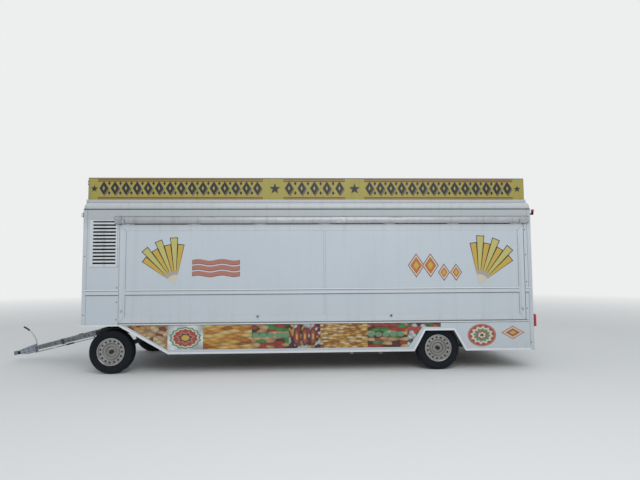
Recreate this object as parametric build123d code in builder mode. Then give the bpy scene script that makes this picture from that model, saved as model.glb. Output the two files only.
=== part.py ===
from build123d import *
import os
from math import cos, hypot, radians, sin

os.makedirs("parts", exist_ok=True)

# Low-floor catering trailer with two axles. The front axle steers on a turntable with a hinged
# A-frame drawbar, and a long flap on the serving side opens upwards.
# Frame: +X to the rear, -Y the serving side, +Z up, origin on the ground under the middle.

# Body shell
BODY_LENGTH = 6710.0
BODY_WIDTH = 2300.0
WALL = 40.0  # sandwich wall, and the flap's frame
POST = 62.0  # leg of the corner extrusions
POST_ROUND = 9.0
POST_GROOVE = 3.0
SKIRT_BOTTOM = 287.0
NOSE_BOTTOM = 702.0
SILL = 738.0  # top of the skirts and lower edge of the serving opening
EAVES = 2418.0
HEADER_DEPTH = 221.0  # from the eaves down to the serving opening
ROOF_HEIGHT = 112.0
ROOF_PANEL = 40.0
ROOF_OVERHANG = 12.0
ROOF_RIM = 110.0
ROOF_SHOULDER = 84.0  # radius of the roof's rounded edge

# Openings in the shell, measured back from the front wall
FLAP_START = 531.0
FLAP_END_IN = 118.0  # from the rear wall forwards
SLANT_TOP = 529.0
SLANT_LOW = 1262.0
ARCH_SHIFT = 13.0  # middle of the rear arch behind the axle
ARCH_BASE = 774.0
ARCH_CROWN = 433.0
ARCH_TOP = 590.0
EDGE_TRIM = 28.0
EDGE_TRIM_DEPTH = 4.0

# Floors
LOW_FLOOR = 387.0  # walking surface
HIGH_FLOOR = 787.0
FLOOR = 40.0
STEP_BACK = 1443.0  # bulkhead behind the turntable, from the front wall
RAIL_WIDTH = 50.0
RAIL_HEIGHT = 60.0
RAIL_IN = 350.0  # outer chassis rails inside the side planes
CROSS_PITCH = 740.0

# Wheels and axles
WHEEL_RADIUS = 320.0
TYRE_WIDTH = 189.0
WHEEL_IN = 50.0  # outer face of a tyre inside the side plane
RIM_RADIUS = 200.0
RIM_FLANGE = 8.0
HUB_IN = 45.0  # drum's face behind the wheel's middle
DISC_OUT = 34.5  # wheel disc ahead of the wheel's middle
HUB_PLAY = 0.3
AXLE_RADIUS = 30.0
FRONT_AXLE_BACK = 413.0
WHEELBASE = 4846.0
TRIM_HOLES = 15

# Turntable, front running gear and drawbar
RING_RADIUS = 400.0
RING_WIDTH = 46.0
RING_HEIGHT = 42.0
RING_PLAY = 0.5
BOGIE_RAIL = 80.0
SPRING_IN = 271.0  # bogie rails, springs and drawbar eyes inside a tyre's inner face
BOGIE_REACH = 370.0
SPRING_HALF = 275.0
SPRING_WIDTH = 60.0
PIVOT_AHEAD = 366.0  # drawbar hinge ahead of the turntable's middle
PIVOT_HEIGHT = 547.0
PIVOT_PIN = 10.0
DRAWBAR_LENGTH = 1647.0
REST_ANGLE = 14.0  # the bar's slope down to its nose when it rests on its stop
DRAWBAR_RAIL = 70.0
DRAWBAR_WIDTH = 42.0
HEAD_RADIUS = 33.0
HEAD_SKIRT = 30.0  # coupling head below the ball's middle
BALL = 50.0

# Serving flap
FLAP_GAP = 5.0
FLAP_FRAME = 89.0
FLAP_PANEL = 30.0
LOCK_FRONT = 2029.0  # lock levers in from the ends of the opening
LOCK_REAR = 2049.0
FLAP_HEAD_GAP = 13.0
HINGE_OUT = 8.0  # hinge line outside the wall
HINGE_DROP = 3.0  # hinge line below the header
KNUCKLE = 7.0
KNUCKLE_LENGTH = 60.0
HINGE_PLAY = 0.5
HINGE_STATIONS = 7
GUTTER_AHEAD = 72.0
GUTTER_BEHIND = 85.0
GUTTER_LIFT = 8.0  # hinge cover's hem above the header's underside
GUTTER_HEIGHT = 97.0
GUTTER_OUT = 36.0
SHEET = 4.0
BELT_LOW = 1149.0
BELT_HIGH = 1227.0
BELT_OUT = 8.0

# Gas struts of the flap
STRUT_INSET = 42.0
STRUT_FOOT_IN = 95.0
STRUT_FOOT_DROP = 1000.0
STRUT_EYE_IN = 90.0
STRUT_EYE_DROP = 250.0
STRUT_TUBE = 14.0
STRUT_ROD = 6.0
STRUT_PIN = 6.0
STRUT_TUBE_LENGTH = 430.0
STRUT_PLAY = 0.3

# Staff door in the rear wall
DOOR_SIDE = 270.0  # hinge edge of the opening inside the far side plane
DOOR_WIDTH = 760.0
DOOR_LOW = 427.0
DOOR_DROP = 141.0  # head of the opening below the eaves
DOOR_GAP = 5.0
DOOR_HINGE_OUT = 12.0
DOOR_HINGE_SIDE = 10.0
DOOR_PIN = 6.0
DOOR_HINGE_LOW = 240.0  # lowest hinge above the opening's foot
DOOR_HINGE_BELT = 120.0  # middle hinge above the belt rail
DOOR_HINGE_HIGH = 250.0  # highest hinge below its head
HANDLE_LIFT = 100.0  # its middle above the belt rail
HANDLE_IN = 60.0
HANDLE_PLATE = (160.0, 34.0, 8.0)  # length, width, depth
HANDLE_POST = 8.0
HANDLE_POSTS = 100.0
HANDLE_OUT = 34.0
HANDLE_GRIP = (140.0, 18.0, 10.0)
DOOR_BELT_IN = 60.0

# Louvre, sign, lamps and counter
LOUVRE_START = 101.0
LOUVRE_END = 502.0
LOUVRE_DROP = 158.0  # top edge below the eaves
LOUVRE_HEIGHT = 698.0
LOUVRE_BORDER = 45.0
LOUVRE_SLATS = 13
LOUVRE_BLADE = 3.0
LOUVRE_OUT = 6.0
SIGN_START = 73.0
SIGN_END_IN = 99.0  # from the rear wall forwards
SIGN_RAISE = 21.0  # lower edge above the roof
SIGN_HEIGHT = 342.0
SIGN_DEPTH = 30.0
SIGN_IN = 55.0  # sign's face behind the side plane
SIGN_FEET = 7
SIGN_FOOT_IN = 300.0
LAMP_DEPTH = 53.0
LAMP_LOW = 625.0
LAMP_HIGH = 814.0
LAMP_WIDTH = 105.0
FRONT_MARKER_DROP = 61.0  # lamp's middle below the eaves
REAR_MARKER_DROP = 46.0
MARKER_IN = 100.0
MARKER_WIDTH = 70.0
MARKER_HEIGHT = 44.0
MARKER_DEPTH = 26.0
MARKER_ROUND = 10.0
MARKER_TAPER = 12.0
PLATE_LOW = 467.0
PLATE_HIGH = 577.0
PLATE_IN = 450.0  # its outer end inside the near side plane
PLATE_LENGTH = 520.0
PLATE_DEPTH = 6.0
COUNTER_TOP = 1247.0
COUNTER_DEPTH = 560.0
COUNTER_SHEET = 25.0
COUNTER_END_IN = 200.0
COUNTER_GAP = 20.0

# Derived places
HALF = BODY_WIDTH / 2
HEAD = EAVES - HEADER_DEPTH
ROOF_TOP = EAVES + ROOF_HEIGHT
NOSE_REACH = (DRAWBAR_LENGTH + HEAD_RADIUS) * cos(radians(REST_ANGLE))
PIVOT_BACK = FRONT_AXLE_BACK - PIVOT_AHEAD
REAR = (BODY_LENGTH + NOSE_REACH - PIVOT_BACK - LAMP_DEPTH) / 2
FRONT = REAR - BODY_LENGTH
FRONT_AXLE = FRONT + FRONT_AXLE_BACK
REAR_AXLE = FRONT_AXLE + WHEELBASE
PIVOT = FRONT + PIVOT_BACK
WHEEL_FACE = HALF - WHEEL_IN
WHEEL_MIDDLE = WHEEL_FACE - TYRE_WIDTH / 2
BOGIE_HALF = WHEEL_FACE - TYRE_WIDTH - SPRING_IN
RAIL_SPREAD = HALF - RAIL_IN
HUB_FACE = WHEEL_MIDDLE - HUB_IN
FLAP_X0 = FRONT + FLAP_START
FLAP_X1 = REAR - FLAP_END_IN
FLAP_TOP = HEAD - FLAP_HEAD_GAP
STEP = FRONT + STEP_BACK
ARCH = REAR_AXLE + ARCH_SHIFT
HINGE_Y = -(HALF + HINGE_OUT)
HINGE_HEIGHT = HEAD - HINGE_DROP
GUTTER_BOTTOM = HEAD + GUTTER_LIFT
GUTTER_TOP = GUTTER_BOTTOM + GUTTER_HEIGHT
LOUVRE_HIGH = EAVES - LOUVRE_DROP
LOUVRE_LOW = LOUVRE_HIGH - LOUVRE_HEIGHT
RING_TOP = NOSE_BOTTOM
RING_SPLIT = RING_TOP - RING_HEIGHT
RING_BASE = RING_SPLIT - RING_PLAY - RING_HEIGHT
STRUT_FOOT = (HINGE_Y + STRUT_FOOT_IN, HINGE_HEIGHT - STRUT_FOOT_DROP)
STRUT_EYE = (HINGE_Y + STRUT_EYE_IN, HINGE_HEIGHT - STRUT_EYE_DROP)
STRUT_X = (FLAP_X0 + STRUT_INSET, FLAP_X1 - STRUT_INSET)
DOOR_FAR = HALF - DOOR_SIDE
DOOR_NEAR = DOOR_FAR - DOOR_WIDTH
DOOR_HIGH = EAVES - DOOR_DROP
HANDLE_HEIGHT = BELT_HIGH + HANDLE_LIFT
DOOR_HINGE = (REAR + DOOR_HINGE_OUT, DOOR_FAR + DOOR_HINGE_SIDE)
DOOR_HINGES = (DOOR_LOW + DOOR_HINGE_LOW, BELT_HIGH + DOOR_HINGE_BELT, DOOR_HIGH - DOOR_HINGE_HIGH)
SIGN_X0 = FRONT + SIGN_START
SIGN_X1 = REAR - SIGN_END_IN
SIGN_BOTTOM = ROOF_TOP + SIGN_RAISE


def side(y):
    """Sketch plane facing the serving side at this y, with x along the body and z up."""
    return Plane.XZ.offset(-y)


def slab(x0, x1, y0, y1, z0, z1, mode=Mode.ADD):
    """Flat panel or straight rail between two corners."""
    with Locations(((x0 + x1) / 2, (y0 + y1) / 2, (z0 + z1) / 2)):
        Box(x1 - x0, y1 - y0, z1 - z0, mode=mode)


def round_bar(radius, start, direction, length, mode=Mode.ADD):
    """Pin, boss or bore of this radius from a start point along a direction."""
    across = (0, 1, 0) if abs(direction[0]) > 0.5 else (1, 0, 0)
    with BuildSketch(Plane(origin=start, x_dir=across, z_dir=direction)) as section:
        Circle(radius)
    extrude(section.sketch, amount=length, mode=mode)


# Shell: walls, skirts, posts and roof
SKIRT_LINE = [
    (FLAP_X0, SILL),
    (FLAP_X0, NOSE_BOTTOM),
    (FRONT + SLANT_TOP + EDGE_TRIM / 4, NOSE_BOTTOM),
    (FRONT + SLANT_LOW, SKIRT_BOTTOM),
    (ARCH - ARCH_BASE / 2, SKIRT_BOTTOM),
    (ARCH - ARCH_CROWN / 2, ARCH_TOP),
    (ARCH + ARCH_CROWN / 2, ARCH_TOP),
    (ARCH + ARCH_BASE / 2, SKIRT_BOTTOM),
    (REAR - POST, SKIRT_BOTTOM),
    (REAR - POST, SILL),
]

with BuildPart() as skirt_near:
    with BuildSketch(side(-(HALF - WALL))):
        with BuildLine():
            Polyline(*SKIRT_LINE, close=True)
        make_face()
    extrude(amount=WALL)
skirt_near.part.label = "skirt_near"

with BuildPart() as skirt_far:
    add(skirt_near.part)
    mirror(about=Plane.XZ, mode=Mode.REPLACE)
skirt_far.part.label = "skirt_far"

# Front pier beside the flap, with the louvre's window
with BuildPart() as wall_pier:
    slab(FRONT + POST, FLAP_X0, -HALF, -(HALF - WALL), NOSE_BOTTOM, EAVES)
    slab(
        FRONT + LOUVRE_START + LOUVRE_BORDER / 2,
        FRONT + LOUVRE_END - LOUVRE_BORDER / 2,
        -HALF,
        -(HALF - WALL),
        LOUVRE_LOW + LOUVRE_BORDER / 2,
        LOUVRE_HIGH - LOUVRE_BORDER / 2,
        mode=Mode.SUBTRACT,
    )
wall_pier.part.label = "wall_pier"

with BuildPart() as wall_rear_pier:
    slab(FLAP_X1, REAR - POST, -HALF, -(HALF - WALL), SILL, EAVES)
wall_rear_pier.part.label = "wall_rear_pier"

with BuildPart() as wall_header:
    slab(FLAP_X0, FLAP_X1, -HALF, -(HALF - WALL), HEAD, EAVES)
wall_header.part.label = "wall_header"

with BuildPart() as wall_far:
    slab(FLAP_X0, REAR - POST, HALF - WALL, HALF, SILL, EAVES)
    slab(FRONT + POST, FLAP_X0, HALF - WALL, HALF, NOSE_BOTTOM, EAVES)
wall_far.part.label = "wall_far"

with BuildPart() as wall_front:
    slab(FRONT, FRONT + WALL, -(HALF - POST), HALF - POST, NOSE_BOTTOM, EAVES)
wall_front.part.label = "wall_front"

with BuildPart() as wall_rear:
    slab(REAR - WALL, REAR, -(HALF - POST), HALF - POST, SKIRT_BOTTOM, EAVES)
    slab(REAR - WALL, REAR, DOOR_NEAR, DOOR_FAR, DOOR_LOW, DOOR_HIGH, mode=Mode.SUBTRACT)
wall_rear.part.label = "wall_rear"

# Corner extrusions: an L with a rounded outer edge and a groove down each face
CORNERS = [  # x of the outer edge, direction into the body along x, lower end
    (FRONT, 1, NOSE_BOTTOM),
    (REAR, -1, SKIRT_BOTTOM),
]
with BuildPart() as corner_posts:
    for edge, inward, foot in CORNERS:
        for hand in (-1, 1):
            corner = Plane(origin=(edge, hand * HALF, foot), x_dir=(inward, 0, 0), z_dir=(0, 0, 1))
            into = -hand * inward
            with BuildSketch(corner):
                with BuildLine():
                    Polyline(
                        (0, 0),
                        (POST, 0),
                        (POST, into * WALL),
                        (WALL, into * WALL),
                        (WALL, into * POST),
                        (0, into * POST),
                        close=True,
                    )
                make_face()
                fillet(vertices().sort_by_distance((0, 0))[0], POST_ROUND)
                for groove in (POST / 3, 2 * POST / 3):
                    with Locations((groove, 0), (0, into * groove)):
                        Circle(POST_GROOVE / 2, mode=Mode.SUBTRACT)
            extrude(amount=EAVES - foot)
corner_posts.part.label = "corner_posts"

with BuildPart() as roof_rim:
    with BuildSketch(Plane.XY.offset(EAVES)):
        with Locations(((FRONT + REAR) / 2, 0)):
            RectangleRounded(
                BODY_LENGTH + 2 * ROOF_OVERHANG, BODY_WIDTH + 2 * ROOF_OVERHANG, ROOF_SHOULDER
            )
    extrude(amount=ROOF_HEIGHT)
    fillet(edges().group_by(Axis.Z)[-1], ROOF_SHOULDER)
    fillet(edges().group_by(Axis.Z)[0], ROOF_OVERHANG)
    inner_x = BODY_LENGTH + 2 * ROOF_OVERHANG - 2 * ROOF_RIM
    inner_y = BODY_WIDTH + 2 * ROOF_OVERHANG - 2 * ROOF_RIM
    with BuildSketch(Plane.XY.offset(EAVES)):
        with Locations(((FRONT + REAR) / 2, 0)):
            Rectangle(inner_x, inner_y)
    extrude(amount=ROOF_HEIGHT, mode=Mode.SUBTRACT)
roof_rim.part.label = "roof_rim"

with BuildPart() as roof_panel:
    with BuildSketch(Plane.XY.offset(ROOF_TOP - ROOF_PANEL)):
        with Locations(((FRONT + REAR) / 2, 0)):
            Rectangle(inner_x, inner_y)
    extrude(amount=ROOF_PANEL)
roof_panel.part.label = "roof_panel"

# Floors: the low floor between the wheel boxes, the raised one over the turntable
BOX_ROOM = 65.0  # behind and over a rear tyre
BOX_INNER = WHEEL_FACE - TYRE_WIDTH - BOX_ROOM
BOX_SHEET = 15.0
BOX_HALF = ARCH_BASE / 2 + BOX_SHEET
BOX_TOP = 2 * WHEEL_RADIUS + BOX_ROOM
INSIDE = HALF - WALL

with BuildPart() as floor_low:
    slab(STEP, REAR - WALL, -INSIDE, INSIDE, LOW_FLOOR - FLOOR, LOW_FLOOR)
    for hand in (-1, 1):
        with Locations((ARCH, hand * (BOX_INNER + INSIDE) / 2, LOW_FLOOR - FLOOR / 2)):
            Box(2 * BOX_HALF, INSIDE - BOX_INNER, FLOOR, mode=Mode.SUBTRACT)
floor_low.part.label = "floor_low"

with BuildPart() as wheel_boxes:
    for hand in (-1, 1):
        with Locations((ARCH, hand * (BOX_INNER + INSIDE) / 2, (LOW_FLOOR - FLOOR + BOX_TOP) / 2)):
            Box(2 * BOX_HALF, INSIDE - BOX_INNER, BOX_TOP - LOW_FLOOR + FLOOR)
        inner = (BOX_INNER + BOX_SHEET + INSIDE) / 2
        with Locations((ARCH, hand * inner, (LOW_FLOOR - FLOOR + BOX_TOP - BOX_SHEET) / 2)):
            Box(
                2 * (BOX_HALF - BOX_SHEET),
                INSIDE - BOX_INNER - BOX_SHEET,
                BOX_TOP - BOX_SHEET - LOW_FLOOR + FLOOR,
                mode=Mode.SUBTRACT,
            )
wheel_boxes.part.label = "wheel_boxes"

with BuildPart() as floor_raised:
    slab(FRONT + WALL, STEP, -INSIDE, INSIDE, HIGH_FLOOR - FLOOR, HIGH_FLOOR)
floor_raised.part.label = "floor_raised"

# Bulkhead between the two floor levels, with the posts that join the chassis' levels
RAIL_TOP = LOW_FLOOR - FLOOR
with BuildPart() as bulkhead:
    slab(STEP, STEP + WALL / 2, -INSIDE, INSIDE, LOW_FLOOR, HIGH_FLOOR)
    for across in (-RAIL_SPREAD, 0, RAIL_SPREAD):
        slab(
            STEP - RAIL_WIDTH,
            STEP,
            across - RAIL_WIDTH / 2,
            across + RAIL_WIDTH / 2,
            RAIL_TOP - RAIL_HEIGHT,
            NOSE_BOTTOM,
        )
bulkhead.part.label = "bulkhead"

# Chassis: rails and cross members under the low floor, and a grid under the raised nose
with BuildPart() as chassis_frame:
    for rail in (-RAIL_SPREAD, 0, RAIL_SPREAD):
        slab(
            STEP,
            REAR - WALL,
            rail - RAIL_WIDTH / 2,
            rail + RAIL_WIDTH / 2,
            RAIL_TOP - RAIL_HEIGHT,
            RAIL_TOP,
        )
    crosses = round((REAR - STEP) / CROSS_PITCH)
    pitch = (REAR - WALL - STEP - RAIL_WIDTH) / crosses
    for n in range(crosses + 1):
        start = STEP + n * pitch
        slab(
            start,
            start + RAIL_WIDTH,
            -RAIL_SPREAD,
            RAIL_SPREAD,
            RAIL_TOP - RAIL_HEIGHT,
            RAIL_TOP,
        )
chassis_frame.part.label = "chassis_frame"

NOSE_RAILS = HIGH_FLOOR - FLOOR - NOSE_BOTTOM
with BuildPart() as nose_frame:
    for across in (-INSIDE + RAIL_WIDTH / 2, -RING_RADIUS, 0, RING_RADIUS, INSIDE - RAIL_WIDTH / 2):
        slab(
            FRONT + WALL,
            STEP,
            across - RAIL_WIDTH / 2,
            across + RAIL_WIDTH / 2,
            NOSE_BOTTOM,
            NOSE_BOTTOM + NOSE_RAILS,
        )
    for along in (FRONT + WALL, FRONT_AXLE - RAIL_WIDTH / 2, STEP - RAIL_WIDTH):
        slab(
            along,
            along + RAIL_WIDTH,
            -INSIDE,
            INSIDE,
            NOSE_BOTTOM,
            NOSE_BOTTOM + NOSE_RAILS,
        )
nose_frame.part.label = "nose_frame"

# Skirt edging: a thin strip along the lower edges of both sides
with BuildPart() as skirt_trim:
    for hand in (-1, 1):
        with BuildSketch(side(-HALF)):
            with BuildLine():
                Polyline(*SKIRT_LINE, close=True)
            make_face()
            offset(amount=-EDGE_TRIM, mode=Mode.SUBTRACT)
            with Locations(((FRONT + REAR) / 2, SILL)):
                Rectangle(BODY_LENGTH, 2 * EDGE_TRIM + 2, mode=Mode.SUBTRACT)
            with Locations((REAR - POST, (SILL + SKIRT_BOTTOM) / 2 + EDGE_TRIM)):
                Rectangle(2 * EDGE_TRIM + 2, SILL - SKIRT_BOTTOM, mode=Mode.SUBTRACT)
        extrude(amount=EDGE_TRIM_DEPTH)
    mirror(about=Plane.XZ)
skirt_trim.part.label = "skirt_trim"

# Belt moulding round the fixed walls
BELT_LIP = 14.0
BELT_RUNS = [  # start and end along the side, side
    (FRONT + POST, FLAP_X0, -1),
    (FLAP_X1, REAR - POST, -1),
    (FRONT + POST, REAR - POST, 1),
]


def belt_profile(flip):
    """Section of the moulding: a flat band with a raised lip along each edge."""
    lip = BELT_OUT * flip
    dip = lip / 2
    with BuildLine() as outline:
        Polyline(
            (0, BELT_LOW),
            (lip, BELT_LOW),
            (lip, BELT_LOW + BELT_LIP),
            (dip, BELT_LOW + 2 * BELT_LIP),
            (dip, BELT_HIGH - 2 * BELT_LIP),
            (lip, BELT_HIGH - BELT_LIP),
            (lip, BELT_HIGH),
            (0, BELT_HIGH),
            close=True,
        )
    make_face(outline.edges())


with BuildPart() as belt_rails:
    for start, end, hand in BELT_RUNS:
        with BuildSketch(Plane(origin=(start, hand * HALF, 0), x_dir=(0, 1, 0), z_dir=(1, 0, 0))):
            belt_profile(hand)
        extrude(amount=end - start)
    with BuildSketch(Plane(origin=(FRONT, POST - HALF, 0), x_dir=(-1, 0, 0), z_dir=(0, 1, 0))):
        belt_profile(1)
    extrude(amount=2 * (HALF - POST))
    for near, far in ((POST - HALF, DOOR_NEAR), (DOOR_FAR + 4 * DOOR_HINGE_SIDE, HALF - POST)):
        with BuildSketch(Plane(origin=(REAR, far, 0), x_dir=(1, 0, 0), z_dir=(0, -1, 0))):
            belt_profile(1)
        extrude(amount=far - near)
belt_rails.part.label = "belt_rails"

# Louvre: a frame let into the pier with sloping blades between its stiles
with BuildPart() as louvre_vent:
    slab(
        FRONT + LOUVRE_START,
        FRONT + LOUVRE_END,
        -(HALF + LOUVRE_OUT),
        -HALF,
        LOUVRE_LOW,
        LOUVRE_HIGH,
    )
    slab(
        FRONT + LOUVRE_START + LOUVRE_BORDER / 2,
        FRONT + LOUVRE_END - LOUVRE_BORDER / 2,
        -HALF,
        -(HALF - WALL),
        LOUVRE_LOW + LOUVRE_BORDER / 2,
        LOUVRE_HIGH - LOUVRE_BORDER / 2,
    )
    slab(
        FRONT + LOUVRE_START + LOUVRE_BORDER,
        FRONT + LOUVRE_END - LOUVRE_BORDER,
        -(HALF + LOUVRE_OUT),
        -(HALF - WALL),
        LOUVRE_LOW + LOUVRE_BORDER,
        LOUVRE_HIGH - LOUVRE_BORDER,
        mode=Mode.SUBTRACT,
    )
    slot_pitch = (LOUVRE_HIGH - LOUVRE_LOW - 2 * LOUVRE_BORDER) / LOUVRE_SLATS
    for n in range(LOUVRE_SLATS):
        root = LOUVRE_LOW + LOUVRE_BORDER + n * slot_pitch
        blade_x = FRONT + LOUVRE_START + LOUVRE_BORDER
        with BuildSketch(Plane(origin=(blade_x, -HALF, root), x_dir=(0, 1, 0), z_dir=(1, 0, 0))):
            with BuildLine():
                lip = slot_pitch / 2
                slope = WALL / 2 + LOUVRE_OUT
                Polyline(
                    (-LOUVRE_OUT, 0),
                    (LOUVRE_BLADE - LOUVRE_OUT, 0),
                    (LOUVRE_BLADE - LOUVRE_OUT, lip - LOUVRE_BLADE / 2),
                    (WALL / 2, lip + slope - 1.5 * LOUVRE_BLADE),
                    (WALL / 2, lip + slope),
                    (-LOUVRE_OUT, lip),
                    close=True,
                )
            make_face()
        extrude(amount=LOUVRE_END - LOUVRE_START - 2 * LOUVRE_BORDER)
    slab(
        FLAP_X0 - GUTTER_AHEAD,
        FRONT + LOUVRE_END,
        -(HALF + LOUVRE_OUT),
        -HALF,
        GUTTER_BOTTOM,
        LOUVRE_HIGH,
        mode=Mode.SUBTRACT,
    )
louvre_vent.part.label = "louvre_vent"

# Hinge cover over the flap: a folded sheet with closed ends
with BuildPart() as hinge_cover:
    start = FLAP_X0 - GUTTER_AHEAD
    length = FLAP_X1 - FLAP_X0 + GUTTER_AHEAD + GUTTER_BEHIND
    with BuildSketch(Plane(origin=(start, -HALF, 0), x_dir=(0, 1, 0), z_dir=(1, 0, 0))):
        with BuildLine():
            Polyline(
                (0, GUTTER_TOP),
                (-SHEET, GUTTER_TOP),
                (-GUTTER_OUT, GUTTER_TOP - GUTTER_OUT),
                (-GUTTER_OUT, GUTTER_BOTTOM),
                (SHEET - GUTTER_OUT, GUTTER_BOTTOM),
                (SHEET - GUTTER_OUT, GUTTER_TOP - GUTTER_OUT - SHEET / 2),
                (0, GUTTER_TOP - 2 * SHEET),
                close=True,
            )
        make_face()
    extrude(amount=length)
    for end in (start, start + length - SHEET):
        slab(end, end + SHEET, -(HALF + GUTTER_OUT), -HALF, GUTTER_BOTTOM, GUTTER_TOP - GUTTER_OUT)
hinge_cover.part.label = "hinge_cover"

# Serving flap: mitred frame, sandwich panel, moulding, latches and hinge leaves
FLAP_LEFT = FLAP_X0 + FLAP_GAP
FLAP_RIGHT = FLAP_X1 - FLAP_GAP
FLAP_LOW = SILL + FLAP_GAP
PANEL_LEFT = FLAP_LEFT + FLAP_FRAME
PANEL_RIGHT = FLAP_RIGHT - FLAP_FRAME
PANEL_LOW = FLAP_LOW + FLAP_FRAME
PANEL_TOP = FLAP_TOP - FLAP_FRAME
FLAP_FACE = HALF + 2.0
PANEL_FACE = FLAP_FACE - 4.0

with BuildPart() as flap_frame:
    slab(FLAP_LEFT, FLAP_RIGHT, -FLAP_FACE, -(FLAP_FACE - WALL), FLAP_LOW, FLAP_TOP)
    slab(
        PANEL_LEFT,
        PANEL_RIGHT,
        -FLAP_FACE,
        -(FLAP_FACE - WALL),
        PANEL_LOW,
        PANEL_TOP,
        mode=Mode.SUBTRACT,
    )
flap_frame.part.label = "flap_frame"

with BuildPart() as flap_panel:
    slab(PANEL_LEFT, PANEL_RIGHT, -PANEL_FACE, FLAP_PANEL - PANEL_FACE, PANEL_LOW, PANEL_TOP)
    belt_plane = Plane(origin=(PANEL_LEFT, -PANEL_FACE, 0), x_dir=(0, 1, 0), z_dir=(1, 0, 0))
    with BuildSketch(belt_plane):
        belt_profile(-1)
    extrude(amount=PANEL_RIGHT - PANEL_LEFT)
flap_panel.part.label = "flap_panel"

LATCHES = [  # place along the body, height, radius, stand-out
    (FLAP_X0 + 41.0, SILL + 178.0, 13.0, 22.0),
    (FLAP_X1 - 45.0, SILL + 164.0, 13.0, 22.0),
    (FLAP_X0 + LOCK_FRONT, SILL + 84.0, 17.0, 16.0),
    (FLAP_X1 - LOCK_REAR, SILL + 79.0, 17.0, 16.0),
]
with BuildPart() as flap_latches:
    for along, height, radius, out in LATCHES:
        with BuildSketch(Plane.XZ.offset(FLAP_FACE)):
            with Locations((along, height)):
                Circle(radius)
        extrude(amount=out / 2)
        with BuildSketch(Plane.XZ.offset(FLAP_FACE + out / 2)):
            with Locations((along, height)):
                Circle(radius * 0.7)
        extrude(amount=out / 2)
flap_latches.part.label = "flap_latches"

HINGE_PITCH = (FLAP_X1 - FLAP_X0 - 4 * KNUCKLE_LENGTH) / (HINGE_STATIONS - 1)
LEAF = 2.0
LEAF_REACH = 30.0


def knuckle(start, length):
    """Round of a hinge along x, bored for its pin."""
    round_bar(KNUCKLE, (start, HINGE_Y, HINGE_HEIGHT), (1, 0, 0), length)


with BuildPart() as hinge_body:
    for n in range(HINGE_STATIONS):
        middle = FLAP_X0 + 2 * KNUCKLE_LENGTH + n * HINGE_PITCH
        for start in (middle - 1.5 * KNUCKLE_LENGTH, middle + 0.5 * KNUCKLE_LENGTH):
            knuckle(start, KNUCKLE_LENGTH)
            slab(
                start,
                start + KNUCKLE_LENGTH,
                -(HALF + LEAF),
                -HALF,
                HINGE_HEIGHT + KNUCKLE / 2,
                HINGE_HEIGHT + LEAF_REACH,
            )
            slab(
                start,
                start + KNUCKLE_LENGTH,
                -(HALF + HINGE_OUT),
                -HALF,
                HINGE_HEIGHT + KNUCKLE / 2,
                HINGE_HEIGHT + KNUCKLE,
            )
hinge_body.part.label = "hinge_body"

with BuildPart() as hinge_flap:
    for n in range(HINGE_STATIONS):
        start = FLAP_X0 + 1.5 * KNUCKLE_LENGTH + n * HINGE_PITCH + HINGE_PLAY
        knuckle(start, KNUCKLE_LENGTH - 2 * HINGE_PLAY)
        slab(
            start,
            start + KNUCKLE_LENGTH - 2 * HINGE_PLAY,
            -(FLAP_FACE + LEAF),
            -FLAP_FACE,
            HINGE_HEIGHT - LEAF_REACH,
            HINGE_HEIGHT,
        )
hinge_flap.part.label = "hinge_flap"

# Jamb posts inside the serving opening carry the struts' feet on pins
JAMB = 50.0
JAMB_DEPTH = 80.0
with BuildPart() as jamb_posts:
    for edge, inward in ((FLAP_X0, 1), (FLAP_X1, -1)):
        middle = edge - inward * JAMB / 2
        slab(
            middle - JAMB / 2,
            middle + JAMB / 2,
            -INSIDE,
            -INSIDE + JAMB_DEPTH,
            LOW_FLOOR if inward < 0 else HIGH_FLOOR,
            EAVES,
        )
        with BuildSketch(Plane(origin=(edge, *STRUT_FOOT), x_dir=(0, 1, 0), z_dir=(inward, 0, 0))):
            Circle(STRUT_PIN)
        extrude(amount=STRUT_INSET + STRUT_TUBE)
jamb_posts.part.label = "jamb_posts"

STRUT_RUN = hypot(STRUT_EYE[0] - STRUT_FOOT[0], STRUT_EYE[1] - STRUT_FOOT[1])
STRUT_LINE = (0, (STRUT_EYE[0] - STRUT_FOOT[0]) / STRUT_RUN, (STRUT_EYE[1] - STRUT_FOOT[1]) / STRUT_RUN)
EYE_WIDTH = 16.0
STUD = 20.0


def strut_tube(x):
    """Cylinder of a gas strut with the eye at its foot."""
    foot = (x, *STRUT_FOOT)
    round_bar(STRUT_TUBE, foot, STRUT_LINE, STRUT_TUBE_LENGTH)
    round_bar(STRUT_TUBE, (x - EYE_WIDTH / 2, *STRUT_FOOT), (1, 0, 0), EYE_WIDTH)
    round_bar(
        STRUT_PIN + STRUT_PLAY,
        (x - STRUT_TUBE, *STRUT_FOOT),
        (1, 0, 0),
        2 * STRUT_TUBE,
        mode=Mode.SUBTRACT,
    )
    bottom = [a + 2 * STRUT_TUBE * b for a, b in zip(foot, STRUT_LINE)]
    round_bar(STRUT_ROD + STRUT_PLAY, bottom, STRUT_LINE, STRUT_TUBE_LENGTH, mode=Mode.SUBTRACT)


def strut_rod(x, inward):
    """Piston rod with its end eye and the stud that points at the flap's bracket."""
    start = [a + 3 * STRUT_TUBE * b for a, b in zip((x, *STRUT_FOOT), STRUT_LINE)]
    round_bar(STRUT_ROD, start, STRUT_LINE, STRUT_RUN - 3 * STRUT_TUBE)
    round_bar(2 * STRUT_ROD, (x - EYE_WIDTH / 2, *STRUT_EYE), (1, 0, 0), EYE_WIDTH)
    round_bar(STRUT_ROD, (x, *STRUT_EYE), (inward, 0, 0), STUD - STRUT_PLAY)


with BuildPart() as strut_tube_front:
    strut_tube(STRUT_X[0])
strut_tube_front.part.label = "strut_tube_front"

with BuildPart() as strut_tube_rear:
    strut_tube(STRUT_X[1])
strut_tube_rear.part.label = "strut_tube_rear"

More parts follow.
